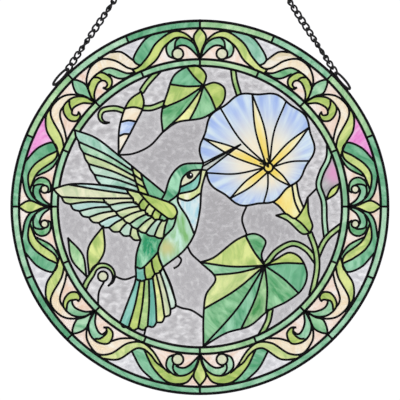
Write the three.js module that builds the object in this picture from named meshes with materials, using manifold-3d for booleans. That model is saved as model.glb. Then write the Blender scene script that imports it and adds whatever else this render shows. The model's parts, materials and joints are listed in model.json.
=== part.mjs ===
// Round leaded-glass panel hung by two chains from one ring. Millimetres, +Z up, the panel faces -Y.
// The origin is where a hook bears on the inside of the hanging ring.
import * as THREE from "three";
import { mergeVertices } from "three/addons/utils/BufferGeometryUtils.js";
import ManifoldModule from "manifold-3d";

const PANEL_RADIUS = 254;        // a 20 inch panel
const PANEL_DROP = 467;          // hook point down to the panel's centre
const PANEL_SIDE = -5;           // the panel's centre hangs this far to the side of the hook point
const RIM_WIDTH = 3.6;           // face width of the rim came
const RIM_DEPTH = 7;             // rim came, front to back
const RIM_STEPS = 40;
const CAME_WIDTH = 3.4;          // width of a lead line seen from the front
const CAME_DEPTH = 5;            // lead line, front to back
const GLASS_THICK = 3;
const CLEARANCE = 0.3;           // putty gap between glass and lead
const RING_OUTER = 243.3;        // lead circle inside the outer glass ring
const RING_INNER = 199.7;        // lead circle outside the inner glass ring
const RING_PICTURE = 190.7;      // lead circle round the picture
const RING_STEPS = 40;
const CHORD = 2.2;               // how far a curve may leave its straight steps

const LINK_LENGTH = 13.5;        // one chain link, outside
const LINK_WIDTH = 9;
const LINK_WIRE = 2;
const LINK_PITCH = 10.5;         // link to link along a run
const LOOP_LENGTH = 33;          // wire loop soldered to the rim, outside
const LOOP_WIDTH = 9.5;
const LOOP_WIRE = 2.1;
const HANG_RING_RADIUS = 11;     // hanging ring, to the middle of its wire
const HANG_RING_WIRE = 3;
const RING_PLAY = 1.2;           // slack between the hanging ring and a chain's first link
const LOOP_PLAY = 3.5;           // slack between a rim loop and a chain's last link
const LOOP_ANGLES = { left: 137, right: 41.4 };   // degrees round the rim
const CHAIN_SPREAD = 34;         // degrees each run leaves the hanging ring's foot
const HANG_RING_STEPS = 16;
const LOOP_STEPS = 12;
const WIRE_SIDES = 6;
const LINK_STEPS = 6;
const LINK_SIDES = 3;
const BORDER_SECTORS = 8;        // the scroll border, parted at every 45 degrees
const DROP_UNDER = 25;           // mm2: a gap between leads smaller than this is filled with solder
const CUT_PAST = 2;              // the glass is cut by leads this much deeper than the real ones

// The flower: a wavy round rim, parted into petals by seams that meet in the throat. Grid units and degrees.
const FLOWER = [258, 150];
const THROAT = [268.5, 167.5];
const FLOWER_RADIUS = 57;
const FLOWER_WAVES = 10;
const WAVE_DEPTH = 1.5;
const FAR_SIDE = -45;            // the side that leans away is drawn shorter
const FAR_SHORT = 8;
const FAR_SPAN = 38;
const PETALS = 5;
const FIRST_SEAM = 204;          // this seam ends at the bird's throat
const HIDDEN_RIM = 10;           // the last stretch of the rim, behind the bird's head
const PETAL_STEP = 6;            // between the points of a petal edge

// The cartoon of the panel was drawn on a grid whose unit is 1/188.2 of the radius, x right and y down.
const GRID_RADIUS = 188.2;
const GRID_CENTRE = [199.9, 206.6];
const UNIT = PANEL_RADIUS / GRID_RADIUS;

const wasm = await ManifoldModule();
wasm.setup();

const SLOT_COLOURS = {
  lead: 0x2b2b2d, glass_green: 0x7cc48f, glass_lime: 0xc5d86b, glass_blue: 0xb5cdf2, glass_yellow: 0xffe066,
  glass_peach: 0xfbe3d3, glass_clear: 0xd4d4d8, glass_mint: 0xa3dcc0, chain_wire: 0x1e1e20,
};

function fromGrid(points) {
  return points.map(([x, y]) => new THREE.Vector2((x - GRID_CENTRE[0]) * UNIT, (GRID_CENTRE[1] - y) * UNIT));
}

// A smooth line through its points, stepped so that no chord leaves the curve by more than CHORD.
function smooth(points) {
  if (points.length < 3) {
    return points;
  }
  const spots = points.map((p) => new THREE.Vector3(p.x, p.y, 0));
  const curve = new THREE.CatmullRomCurve3(spots, false, "centripetal");
  const fine = curve.getPoints((points.length - 1) * 10).map((p) => new THREE.Vector2(p.x, p.y));
  return thin(fine, CHORD);
}

function thin(line, tolerance) {
  const first = line[0];
  const last = line[line.length - 1];
  const along = last.clone().sub(first);
  const length = along.length();
  let worst = 0;
  let at = 0;
  for (let i = 1; i < line.length - 1; i++) {
    const to = line[i].clone().sub(first);
    const off = length > 1e-6 ? Math.abs(along.cross(to)) / length : to.length();
    if (off > worst) {
      worst = off;
      at = i;
    }
  }
  if (worst <= tolerance) {
    return [first, last];
  }
  return [...thin(line.slice(0, at + 1), tolerance).slice(0, -1), ...thin(line.slice(at), tolerance)];
}

// A closed flat outline pushed out along Y, centred on the sheet's middle.
function slab(outline, holes, depth) {
  const shape = new THREE.Shape(outline);
  for (const hole of holes) {
    shape.holes.push(new THREE.Path(hole));
  }
  const geometry = new THREE.ExtrudeGeometry(shape, { depth, bevelEnabled: false, curveSegments: 1 });
  geometry.translate(0, 0, -depth / 2);
  geometry.rotateX(Math.PI / 2);
  return geometry;
}

function toSolid(geometry) {
  const clean = geometry.clone();
  clean.deleteAttribute("normal");
  clean.deleteAttribute("uv");
  const welded = mergeVertices(clean, 1e-4);
  return new wasm.Manifold(new wasm.Mesh({
    numProp: 3,
    vertProperties: new Float32Array(welded.attributes.position.array),
    triVerts: new Uint32Array(welded.index.array),
  }));
}

function toGeometry(solid) {
  const data = solid.getMesh();
  const geometry = new THREE.BufferGeometry();
  const count = data.vertProperties.length / data.numProp;
  const position = new Float32Array(count * 3);
  for (let i = 0; i < count; i++) {
    position.set(data.vertProperties.slice(i * data.numProp, i * data.numProp + 3), i * 3);
  }
  geometry.setAttribute("position", new THREE.BufferAttribute(position, 3));
  geometry.setIndex(new THREE.BufferAttribute(new Uint32Array(data.triVerts), 1));
  geometry.computeVertexNormals();
  return geometry;
}

// A strip of the given width along a line, square at its ends.
function stripOutline(line, width) {
  const left = [];
  const right = [];
  const last = line.length - 1;
  for (let i = 0; i <= last; i++) {
    const into = line[i].clone().sub(line[Math.max(i - 1, 0)]);
    const out = line[Math.min(i + 1, last)].clone().sub(line[i]);
    const before = (i > 0 ? into : out).normalize();
    const after = (i < last ? out : into).normalize();
    const middle = before.clone().add(after).normalize();
    const reach = width / 2 / Math.max(middle.dot(before), 0.5);
    const side = new THREE.Vector2(-middle.y, middle.x).multiplyScalar(reach);
    left.push(line[i].clone().add(side));
    right.push(line[i].clone().sub(side));
  }
  return left.concat(right.reverse());
}

function circle(radius, steps) {
  return Array.from({ length: steps }, (_, i) => {
    const turn = (i / steps) * Math.PI * 2;
    return new THREE.Vector2(radius * Math.cos(turn), radius * Math.sin(turn));
  });
}

function band(radius, width, depth) {
  return slab(circle(radius + width / 2, RING_STEPS), [circle(radius - width / 2, RING_STEPS)], depth);
}

function rimAt(degrees) {
  const turn = THREE.MathUtils.degToRad(degrees);
  const away = (THREE.MathUtils.euclideanModulo(degrees - FAR_SIDE + 180, 360) - 180) / FAR_SPAN;
  const wave = WAVE_DEPTH * Math.cos(FLOWER_WAVES * turn);
  const reach = FLOWER_RADIUS + wave - FAR_SHORT * Math.exp(-away * away);
  return [FLOWER[0] + reach * Math.cos(turn), FLOWER[1] - reach * Math.sin(turn)];
}

function rimBetween(start, stop) {
  const steps = Math.round((stop - start) / PETAL_STEP);
  return Array.from({ length: steps + 1 }, (_, i) => rimAt(start + ((stop - start) * i) / steps));
}

// Lead lines of the picture, named after the edge they follow.
const LINES = {
  wing_top: [[74.9, 130.2], [95, 137.5], [120, 156.5], [150, 181], [164.7, 193.4]],
  wing_tips: [[74.9, 130.2], [78, 140], [92, 170.5], [101, 184.8]],
  low_wing_top: [[53.8, 188.9], [69, 184.4], [94.6, 184.4], [126.5, 189.5], [149.5, 195.6], [168.5, 202]],
  low_wing_edge: [[53.8, 188.9], [62.5, 199], [82, 213], [102, 224.5], [119.5, 231.6], [140.6, 239]],
  wing_back: [[140.6, 239], [146.3, 235], [155, 236.5], [163.4, 238]],
  arm_end: [[168.5, 202], [173.6, 205.5], [176.8, 210.6], [177.2, 216]],
  belly_back: [[177.2, 216], [173.6, 227.2], [163.4, 238], [158.3, 250], [157.3, 255.1], [162.8, 267.2]],
  shoulder: [[164.7, 193.4], [161.5, 199.4]],
  crown: [[164.7, 193.4], [171, 176], [182, 165], [203.6, 163.1]],
  nape: [[168.5, 202], [178.1, 194], [182.5, 178.1], [190.8, 171.4], [201.7, 169.8]],
  breast_back: [[178.1, 194], [177.4, 199.7], [184.4, 212.5], [191.5, 225.3], [194.3, 234.2]],
  throat_edge: [[178.1, 198], [187.6, 200.4], [197.2, 197.5], [201.2, 191]],
  front: [[206.8, 170.4], [201.7, 188.3], [199.9, 210], [194.3, 234.2], [184.4, 250], [162.8, 267.2]],
  bill_top: [[203.6, 163.1], [226.5, 150.6], [240.6, 144.5]],
  bill_under: [[206.8, 170.4], [226.5, 155.7], [240.6, 144.5]],
  bill_root: [[203.6, 163.1], [201.7, 169.8], [206.8, 170.4]],
  rump_left: [[140.6, 239], [137.4, 250], [135.5, 266.6]],
  rump_under: [[135.5, 266.6], [140.6, 268.5], [150, 260.2], [157.3, 255.1]],
  tail_left: [[135.5, 266.6], [135.8, 278.7], [126.5, 305.5], [120.2, 322.1]],
  tail_tips: [[120.2, 322.1], [132.3, 328.5], [147.3, 326.5], [166.6, 316], [175.5, 301]],
  tail_right: [[175.5, 301], [171, 283.8], [162.8, 267.2]],
  covert_edge: [[140.5, 173.5], [143, 182], [148.6, 195.5]],
  tube_left: [rimAt(-74), [278.1, 205.5], [285.7, 214]],
  tube_right: [rimAt(-40), [299, 196], [303.5, 207.5]],
  calyx_top: [[276.1, 215.4], [285.7, 213.8], [295, 218.5], [303.5, 207], [307.7, 197.2]],
  calyx_under: [[276.1, 215.4], [287.6, 220.8], [304.8, 234.8], [309.8, 233]],
  calyx_right: [[307.7, 197.2], [308.7, 213.8], [312.5, 226.5], [309.8, 233]],
  upper_leaf_left: [[203.6, 85.8], [206, 75], [195.9, 65.5], [175.5, 74], [166.9, 94.4],
    [161.5, 114.2], [162.8, 132.1]],
  upper_leaf_right: [[162.8, 132.1], [176.8, 122.5], [205, 117], [223.3, 101.5], [224.3, 88.1],
    [215, 82.6], [203.6, 85.8]],
  big_leaf_left: [[264.7, 265.6], [261.5, 255], [265.5, 241], [254.8, 233.8], [238.3, 238.9],
    [212.8, 258], [200.4, 262.3]],
  big_leaf_foot: [[200.4, 262.3], [215.5, 278.5], [206.1, 294.6], [203.6, 313.8], [203.4, 346.3]],
  big_leaf_under: [[203.4, 346.3], [226.5, 332.9], [249.5, 325.9], [268.5, 310.6], [287.6, 301],
    [302.3, 288.9]],
  big_leaf_right: [[302.3, 288.9], [307, 274], [300, 257.5], [289.5, 252.6], [275.5, 259.6], [264.7, 265.6]],
  big_leaf_rib: [[264.7, 265.6], [240.8, 290.6], [220, 317.5], [203.4, 346.3]],
  big_leaf_side: [[264.7, 265.6], [282.9, 269.5], [302.3, 288.9]],
  bud_left: [[141.2, 91.5], [129.1, 100.8], [119.8, 125.7], [116.3, 142.9], [118.4, 155]],
  bud_right: [[141.2, 91.5], [143.8, 104], [133.5, 127], [122.1, 148], [118.4, 155]],
  bud_stem: [[141.2, 91.5], [147, 83.5], [157, 72.2]],
  bud_foot: [[118.4, 155], [132.9, 153.7], [149.5, 146.1], [162.8, 132.1]],
  leaf_to_flower: [[208.5, 115], rimAt(146)],
  flower_stem: [[233.4, 69.3], [234.6, 80], rimAt(109)],
  vine: [[329, 138], [328.5, 158], [321.5, 173], [318.6, 185], [323.6, 201], [324.6, 222], [327, 233.5]],
  calyx_to_vine: [[307.5, 197.6], [319, 187]],
  main_stem: [[309.8, 233], [315.5, 250], [317, 268], [313, 290.5]],
  side_stem: [[316, 251.5], [327, 233.5], [341, 225]],
  leaf_stem: [[264.7, 265.6], [277, 252], [293, 244], [307, 251], [316.5, 260]],
  breast_to_leaf: [[187.5, 246.2], [191.3, 253.6], [200.4, 262.3]],
  tail_to_leaf: [[171, 306], [180, 308.5], [191.5, 310.3], [204.5, 318]],
  plant: [[103.3, 225.5], [97.2, 251.3], [84, 270], [82.4, 284.5]],
  plant_to_tail: [[84, 270], [100, 262], [113.8, 276], [124.6, 279.7], [135.4, 276]],
};

// Glass in the CAD parts: [name, material slot, a point of the grid inside it].
const PANES = [
  ["upper_wing", "glass_mint", 110, 165], ["lower_wing", "glass_mint", 110, 205],
  ["wing_root", "glass_green", 152, 190], ["head", "glass_green", 175, 180],
  ["throat", "glass_lime", 192, 189], ["breast", "glass_blue", 192, 210],
  ["belly", "glass_yellow", 178, 240], ["rump", "glass_green", 148, 250],
  ["tail", "glass_mint", 150, 300], ["bill", "glass_clear", 212, 163],
  ["petal_left", "glass_blue", 220, 130], ["petal_top", "glass_blue", 250, 115],
  ["petal_right", "glass_blue", 293, 120], ["petal_low_right", "glass_blue", 285, 180],
  ["petal_under", "glass_blue", 240, 190], ["flower_tube", "glass_yellow", 287, 198],
  ["calyx", "glass_lime", 300, 224], ["upper_leaf", "glass_lime", 190, 100],
  ["big_leaf_left", "glass_green", 230, 280], ["big_leaf_under", "glass_green", 255, 300],
  ["big_leaf_right", "glass_green", 292, 262], ["bud", "glass_blue", 128, 122],
  ["ground_upper_left", "glass_clear", 95, 118], ["ground_by_bud", "glass_clear", 150, 120],
  ["ground_above_bird", "glass_clear", 175, 150], ["ground_by_leaf", "glass_clear", 228, 80],
  ["ground_upper_right", "glass_clear", 265, 84], ["ground_right", "glass_clear", 321, 160],
  ["ground_far_right", "glass_clear", 331, 205], ["ground_by_calyx", "glass_clear", 317, 215],
  ["ground_middle", "glass_clear", 225, 225], ["ground_by_tail", "glass_clear", 187, 285],
  ["ground_below_tail", "glass_clear", 180, 330], ["ground_between_wings", "glass_clear", 75, 165],
  ["ground_by_plant", "glass_clear", 110, 250], ["ground_lower_left", "glass_clear", 105, 300],
  ["ground_left", "glass_clear", 68, 225], ["ground_lower_right", "glass_clear", 330, 255],
  ["ground_bottom", "glass_clear", 245, 335],
];

function ray(angle, inner, outer) {
  const way = new THREE.Vector2(Math.cos(angle), Math.sin(angle));
  return [way.clone().multiplyScalar(inner), way.clone().multiplyScalar(outer)];
}

// Lines that reach past the picture end on the middle of its lead circle.
function keepInside(points) {
  return points.map((p) => (p.length() > RING_PICTURE ? p.clone().setLength(RING_PICTURE) : p));
}

const lines = Object.values(LINES).map((points) => smooth(keepInside(fromGrid(points))));
for (let i = 0; i < PETALS; i++) {
  const start = FIRST_SEAM + (360 / PETALS) * i;
  const stop = start + 360 / PETALS - (i === PETALS - 1 ? HIDDEN_RIM : 0);
  lines.push(smooth(fromGrid(rimBetween(start, stop))));
  lines.push(smooth(fromGrid([THROAT, rimAt(start)])));
}
for (let i = 0; i < BORDER_SECTORS; i++) {
  lines.push(ray((i / BORDER_SECTORS) * Math.PI * 2, RING_INNER, RING_OUTER));
}
const RIM_INNER = PANEL_RADIUS - RIM_WIDTH;
const cuts = [];                 // where the outer ring's glass is parted inside the rim's channel
for (const side of [0, Math.PI]) {
  lines.push(ray(side, RING_OUTER, RIM_INNER - CLEARANCE));
  lines.push(ray(side, RING_PICTURE, RING_INNER));
  cuts.push(ray(side, RING_OUTER, PANEL_RADIUS));
}

const LEAD_RINGS = [RING_OUTER, RING_INNER, RING_PICTURE];

function leadSolids(extra, depth, more) {
  const width = CAME_WIDTH + extra;
  const strips = lines.concat(more).map((line) => toSolid(slab(stripOutline(line, width), [], depth)));
  const rings = LEAD_RINGS.map((radius) => toSolid(band(radius, width, depth)));
  return strips.concat(rings).reduce((all, next) => all.add(next));
}

function frontArea(geometry) {
  const at = geometry.attributes.position;
  const index = geometry.index;
  let area = 0;
  const faces = [];
  for (let i = 0; i < index.count; i += 3) {
    const [a, b, c] = [0, 1, 2].map((k) => new THREE.Vector3().fromBufferAttribute(at, index.getX(i + k)));
    const cross = b.clone().sub(a).cross(c.clone().sub(a));
    if (cross.y < -1e-6 && Math.abs(cross.y) > 0.9 * cross.length()) {
      area -= cross.y / 2;
      faces.push([a, b, c]);
    }
  }
  return { area, faces };
}

function holds(faces, x, z) {
  const turn = (p, q) => (q.x - p.x) * (z - p.z) - (q.z - p.z) * (x - p.x);
  return faces.some(([a, b, c]) => {
    const sides = [turn(a, b), turn(b, c), turn(c, a)];
    return sides.every((s) => s >= 0) || sides.every((s) => s <= 0);
  });
}

// A closed oval of wire in the XZ plane, long along X.
function wireOval(length, width, wire, steps, sides) {
  const a = (length - wire) / 2;
  const b = (width - wire) / 2;
  const outline = Array.from({ length: steps }, (_, i) => {
    const turn = (i / steps) * Math.PI * 2;
    return new THREE.Vector3(a * Math.cos(turn), 0, b * Math.sin(turn));
  });
  return hoop(outline, wire / 2, sides);
}

// A closed tube of wire round a flat outline in the XZ plane, mitred at each corner.
function hoop(outline, radius, sides) {
  const count = outline.length;
  const points = [];
  for (let i = 0; i < count; i++) {
    const into = outline[i].clone().sub(outline[(i + count - 1) % count]).normalize();
    const out = outline[(i + 1) % count].clone().sub(outline[i]).normalize();
    const along = into.clone().add(out).normalize();
    const across = new THREE.Vector3(along.z, 0, -along.x).divideScalar(Math.max(along.dot(out), 0.4));
    for (let k = 0; k < sides; k++) {
      const turn = ((k + 0.5) / sides) * Math.PI * 2;
      const spot = outline[i].clone().addScaledVector(across, radius * Math.cos(turn));
      points.push(spot.x, spot.y + radius * Math.sin(turn), spot.z);
    }
  }
  const faces = [];
  for (let i = 0; i < count; i++) {
    for (let k = 0; k < sides; k++) {
      const next = (i + 1) % count;
      const turn = (k + 1) % sides;
      faces.push(i * sides + k, next * sides + turn, next * sides + k);
      faces.push(i * sides + k, i * sides + turn, next * sides + turn);
    }
  }
  const geometry = new THREE.BufferGeometry();
  geometry.setAttribute("position", new THREE.Float32BufferAttribute(points, 3));
  geometry.setIndex(faces);
  geometry.computeVertexNormals();
  return geometry;
}

const group = new THREE.Group();
group.name = "stained_glass_panel";

function addMesh(name, slot, geometry) {
  const metal = slot === "lead" || slot === "chain_wire";
  const material = new THREE.MeshStandardMaterial({
    name: slot, color: SLOT_COLOURS[slot], metalness: metal ? 0.8 : 0, roughness: metal ? 0.55 : 0.2,
  });
  const mesh = new THREE.Mesh(geometry, material);
  mesh.name = name;
  group.add(mesh);
}

const DOWN = new THREE.Matrix4().makeTranslation(PANEL_SIDE, 0, -PANEL_DROP);

const channel = RIM_WIDTH / 2;
const rimProfile = [
  [RIM_INNER, -RIM_DEPTH / 2], [PANEL_RADIUS, -RIM_DEPTH / 2],
  [PANEL_RADIUS, RIM_DEPTH / 2], [RIM_INNER, RIM_DEPTH / 2],
  [RIM_INNER, GLASS_THICK / 2 + CLEARANCE], [RIM_INNER + channel, GLASS_THICK / 2 + CLEARANCE],
  [RIM_INNER + channel, -GLASS_THICK / 2 - CLEARANCE], [RIM_INNER, -GLASS_THICK / 2 - CLEARANCE],
  [RIM_INNER, -RIM_DEPTH / 2],
].map(([r, y]) => new THREE.Vector2(r, y));
addMesh("rim", "lead", new THREE.LatheGeometry(rimProfile, RIM_STEPS).applyMatrix4(DOWN));

const lead = leadSolids(0, CAME_DEPTH, []);
addMesh("leadwork", "lead", toGeometry(lead).applyMatrix4(DOWN));

const glassRadius = RIM_INNER + channel - 2 * CLEARANCE;
const sheet = toSolid(slab(circle(glassRadius, RIM_STEPS), [], GLASS_THICK));
const pieces = sheet.subtract(leadSolids(2 * CLEARANCE, CAME_DEPTH + CUT_PAST, cuts)).decompose();
const seeds = PANES.map(([name, slot, x, y]) => {
  const at = fromGrid([[x, y]])[0];
  return { name, slot, x: at.x, z: at.y };
});
for (let i = 0; i < BORDER_SECTORS; i++) {
  const turn = ((i + 0.5) / BORDER_SECTORS) * Math.PI * 2;
  const middle = (RING_INNER + RING_OUTER) / 2;
  const [x, z] = [middle * Math.cos(turn), middle * Math.sin(turn)];
  seeds.push({ name: `border_${i + 1}`, slot: "glass_peach", x, z });
}
for (const [half, side] of [["upper", 1], ["lower", -1]]) {
  const outerMiddle = side * (RING_OUTER + RIM_INNER) / 2;
  const innerMiddle = side * (RING_PICTURE + RING_INNER) / 2;
  seeds.push({ name: `outer_ring_${half}`, slot: "glass_green", x: 0, z: outerMiddle });
  seeds.push({ name: `inner_ring_${half}`, slot: "glass_green", x: 0, z: innerMiddle });
}
const unnamed = [];
for (const piece of pieces) {
  const geometry = toGeometry(piece);
  const { area, faces } = frontArea(geometry);
  const found = seeds.filter((seed) => holds(faces, seed.x, seed.z));
  if (found.length === 1) {
    addMesh(`glass_${found[0].name}`, found[0].slot, geometry.applyMatrix4(DOWN));
    found[0].used = true;
  } else if (area > DROP_UNDER) {
    geometry.computeBoundingBox();
    const middle = geometry.boundingBox.getCenter(new THREE.Vector3());
    const gridX = (middle.x / UNIT + GRID_CENTRE[0]).toFixed(0);
    const gridY = (GRID_CENTRE[1] - middle.z / UNIT).toFixed(0);
    const names = found.map((f) => f.name).join("+") || "none";
    unnamed.push(`${names} at ${gridX},${gridY} area ${area.toFixed(0)}`);
  }
}
const missing = seeds.filter((seed) => !seed.used).map((seed) => seed.name);
if (unnamed.length || missing.length) {
  throw new Error(`panes without one name: ${unnamed.join("; ")}; without a pane: ${missing.join(", ")}`);
}

// The hanging ring, then on each side a loop along the rim and the chain between them.
const ringCentre = new THREE.Vector3(0, 0, HANG_RING_WIRE / 2 - HANG_RING_RADIUS);
const hangRingSize = 2 * HANG_RING_RADIUS + HANG_RING_WIRE;
const hangRing = wireOval(hangRingSize, hangRingSize, HANG_RING_WIRE, HANG_RING_STEPS, WIRE_SIDES);
hangRing.translate(ringCentre.x, ringCentre.y, ringCentre.z);
addMesh("hanging_ring", "chain_wire", hangRing);

for (const side of ["left", "right"]) {
  const turn = THREE.MathUtils.degToRad(LOOP_ANGLES[side]);
  const reach = PANEL_RADIUS + CLEARANCE + LOOP_WIDTH / 2;
  const loopX = reach * Math.cos(turn) + PANEL_SIDE;
  const loopCentre = new THREE.Vector3(loopX, 0, reach * Math.sin(turn) - PANEL_DROP);
  const loop = wireOval(LOOP_LENGTH, LOOP_WIDTH, LOOP_WIRE, LOOP_STEPS, WIRE_SIDES);
  loop.rotateY(-(turn + Math.PI / 2));
  loop.translate(loopCentre.x, loopCentre.y, loopCentre.z);
  addMesh(`loop_${side}`, "chain_wire", loop);

  const outward = side === "left" ? -1 : 1;
  const spread = THREE.MathUtils.degToRad(CHAIN_SPREAD);
  const tangent = new THREE.Vector3(-Math.sin(turn), 0, Math.cos(turn)).multiplyScalar(outward);
  const loopEnd = loopCentre.clone().addScaledVector(tangent, (LOOP_LENGTH - LOOP_WIRE) / 2);
  const ringFoot = ringCentre.clone();
  ringFoot.x += outward * HANG_RING_RADIUS * Math.sin(spread);
  ringFoot.z -= HANG_RING_RADIUS * Math.cos(spread);
  const way = loopEnd.clone().sub(ringFoot);
  const run = way.length();
  way.normalize();
  const inner = LINK_LENGTH / 2 - LINK_WIRE;
  const first = inner - HANG_RING_WIRE / 2 - RING_PLAY;
  const last = run - (inner - LOOP_WIRE / 2 - LOOP_PLAY);
  const steps = 2 * Math.round((last - first) / LINK_PITCH / 2);
  let chain = null;
  for (let i = 0; i <= steps; i++) {
    const link = wireOval(LINK_LENGTH, LINK_WIDTH, LINK_WIRE, LINK_STEPS, LINK_SIDES);
    link.rotateX(i % 2 ? 0 : Math.PI / 2);
    link.rotateY(-Math.atan2(way.z, way.x));
    const at = ringFoot.clone().addScaledVector(way, first + ((last - first) * i) / steps);
    link.translate(at.x, at.y, at.z);
    const solid = toSolid(link);
    chain = chain ? chain.add(solid) : solid;
  }
  addMesh(`chain_${side}`, "chain_wire", toGeometry(chain));
}

export default group;
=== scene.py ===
"""A round leaded-glass panel hung by two chains: every lead line, every piece of glass and every link."""
import json
import math

import bpy
import numpy as np
from mathutils import Matrix, Vector, geometry, kdtree


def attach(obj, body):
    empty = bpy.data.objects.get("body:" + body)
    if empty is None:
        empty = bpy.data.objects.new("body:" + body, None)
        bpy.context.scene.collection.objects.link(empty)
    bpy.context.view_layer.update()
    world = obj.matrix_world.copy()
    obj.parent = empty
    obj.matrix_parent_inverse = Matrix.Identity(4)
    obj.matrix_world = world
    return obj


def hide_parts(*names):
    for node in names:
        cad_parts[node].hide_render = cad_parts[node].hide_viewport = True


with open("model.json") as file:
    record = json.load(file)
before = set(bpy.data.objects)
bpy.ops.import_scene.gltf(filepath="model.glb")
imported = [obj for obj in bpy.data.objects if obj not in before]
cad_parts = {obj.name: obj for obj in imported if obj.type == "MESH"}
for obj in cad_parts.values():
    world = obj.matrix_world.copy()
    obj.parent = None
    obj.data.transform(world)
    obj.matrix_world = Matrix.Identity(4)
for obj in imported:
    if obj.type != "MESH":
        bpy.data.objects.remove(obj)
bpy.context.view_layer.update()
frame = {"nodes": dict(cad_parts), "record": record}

MM = 0.001
PANEL_RADIUS = 254.0        # mm, a 20 inch panel
PANEL_DROP = 467.0          # mm, hook point down to the panel's centre
PANEL_SIDE = -5.0           # mm, the panel's centre hangs this far to the left of the hook point
RIM_LINE = 252.8            # mm, middle of the rim came
RING_OUTER = 243.0          # mm, lead circle inside the outer ring of glass
RING_INNER = 199.7          # mm, lead circle outside the inner ring of glass
RING_PICTURE = 190.8        # mm, lead circle round the picture
RING_OVAL = 0.0045          # share by which the hand-built rings are wider, and less tall, than a circle
RIM_SINK = -0.9             # mm, height of the rim's middle against the panel's centre
RING_SINK = -1.25           # mm, height of the outer lead circle's middle against the panel's centre
RING_STRIPS = 16            # strips of glass in each ring
GLASS_THICK = 3.0           # mm
LEAD_WIDTH = 2.9            # mm, a lead line of the picture seen from the front
RING_WIDTH = 3.5            # mm, a lead circle seen from the front
FINE_WIDTH = 2.5            # mm, the narrow came of the flower's seams and the bill
STAMEN_WIDTH = 1.7          # mm, wire laid on the flower's face
STAMEN_DEPTH = 4.0          # mm, so that it stands out from the glass on both faces
LEAD_DEPTH = 5.0            # mm, a lead line from front to back
RIM_WIDTH = 3.6             # mm, the rim came seen from the front
RIM_DEPTH = 7.0             # mm, the rim came from front to back
GLASS_GRID = 5.0            # mm between the inner points of a piece of glass
GRID_CLEAR = 0.45           # share of that which the inner points keep off a lead
LINE_STEP = 2.0             # mm between the points of a drawn line
RING_STEP = 3.0             # mm between the points of a circle
CIRCLE_POINTS = 16          # the fewest points of a small circle
SNAP = 3.4                  # mm, a line end this near another lead is soldered to it
CLOSE = 1.2                 # mm, a lead this near an end is joined even where other leads already meet it
OVERLAP = 0.8               # mm, how far a soldered end runs into the other lead
MEETS = 0.05                # mm, a line end this near a lead already meets it
TINY = 1e-6                 # mm, a length of nothing
FAR = 1e9                   # mm, out of reach
SAME_POINT = 1e-4           # mm, points this near are one where the glass is cut
NEAREST = 40                # triangles round a spot that are searched for the one it lies in

# The cartoon is drawn on a grid whose unit is 1/188.2 of the panel's radius, x right and y down.
GRID_RADIUS = 188.2
GRID_CENTRE = (199.9, 206.6)
UNIT = PANEL_RADIUS / GRID_RADIUS


def on_panel(points):
    """Grid points as millimetres from the panel's centre, x right and z up."""
    return [((x - GRID_CENTRE[0]) * UNIT, (GRID_CENTRE[1] - y) * UNIT) for x, y in points]


def smooth(points):
    """Points along a centripetal Catmull-Rom curve through the given ones, LINE_STEP apart."""
    knots = [np.array(p, dtype=float) for p in points]
    ends = [2 * knots[0] - knots[1], *knots, 2 * knots[-1] - knots[-2]]
    line = []
    for a, b, c, d in zip(ends, ends[1:], ends[2:], ends[3:]):
        t1 = max(np.linalg.norm(b - a), TINY) ** 0.5
        t2 = t1 + max(np.linalg.norm(c - b), TINY) ** 0.5
        t3 = t2 + max(np.linalg.norm(d - c), TINY) ** 0.5
        steps = max(2, int(np.linalg.norm(c - b) / LINE_STEP + 0.5))
        for t in np.linspace(t1, t2, steps, endpoint=False):
            ab = a + (b - a) * (t / t1)
            bc = b + (c - b) * ((t - t1) / (t2 - t1))
            cd = c + (d - c) * ((t - t2) / (t3 - t2))
            abc = ab + (bc - ab) * (t / t2)
            bcd = bc + (cd - bc) * ((t - t1) / (t3 - t1))
            line.append(tuple(abc + (bcd - abc) * ((t - t1) / (t2 - t1))))
    line.append(tuple(knots[-1]))
    return line


def arc(radius, turns, centre=(0.0, 0.0), oval=0.0):
    """Points at the given turns of a circle, or of an oval that is wider by a share and as much less tall."""
    wide = radius * (1 + oval)
    tall = radius * (1 - oval)
    return [(centre[0] + wide * math.cos(t), centre[1] + tall * math.sin(t)) for t in turns]


def circle(radius, centre=(0.0, 0.0), oval=0.0):
    steps = max(CIRCLE_POINTS, int(2 * math.pi * radius / RING_STEP))
    return arc(radius, [2 * math.pi * i / steps for i in range(steps + 1)], centre, oval)


def ray(turn, inner, outer):
    way = (math.cos(turn), math.sin(turn))
    return [(inner * way[0], inner * way[1]), (outer * way[0], outer * way[1])]


lead_lines = []             # polylines in millimetres on the panel
narrow = set()              # numbers of the lead lines that are of narrow came
pane_glass = []             # (glass name, point on the panel inside the pane)


def lead(*points):
    """One lead line of the picture, through grid points."""
    lead_lines.append(smooth(on_panel(points)))


def glass(name, *points):
    """The panes at these grid points are cut from this glass."""
    pane_glass.extend((name, p) for p in on_panel(points))


# Rings of strips round the border. The bird's wing tips lie over the innermost lead circle.
rim_line = circle(RIM_LINE, (0.0, RIM_SINK), RING_OVAL)
OVER_RING = [((80.8, 130.8), (76.6, 137.5)), ((60.2, 186), (59, 194.6))]   # from and to, grid units


def heading(point):
    x, z = on_panel([point])[0]
    return math.atan2(z, x) % (2 * math.pi)


def broken_ring(radius, gaps):
    """A lead circle that stops where a picture piece lies over it."""
    cuts = sorted((heading(a), heading(b)) for a, b in gaps)
    arcs = []
    for (_, start), (stop, _) in zip(cuts, cuts[1:] + cuts[:1]):
        span = (stop - start) % (2 * math.pi)
        steps = int(span * radius / RING_STEP)
        arcs.append(arc(radius, [start + span * i / steps for i in range(steps + 1)], oval=RING_OVAL))
    return arcs


ring_lines = [circle(RING_OUTER, (0.0, RING_SINK), RING_OVAL), circle(RING_INNER, oval=RING_OVAL)]
lead_lines.extend(broken_ring(RING_PICTURE, OVER_RING))
ring_arcs = len(lead_lines)
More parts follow.
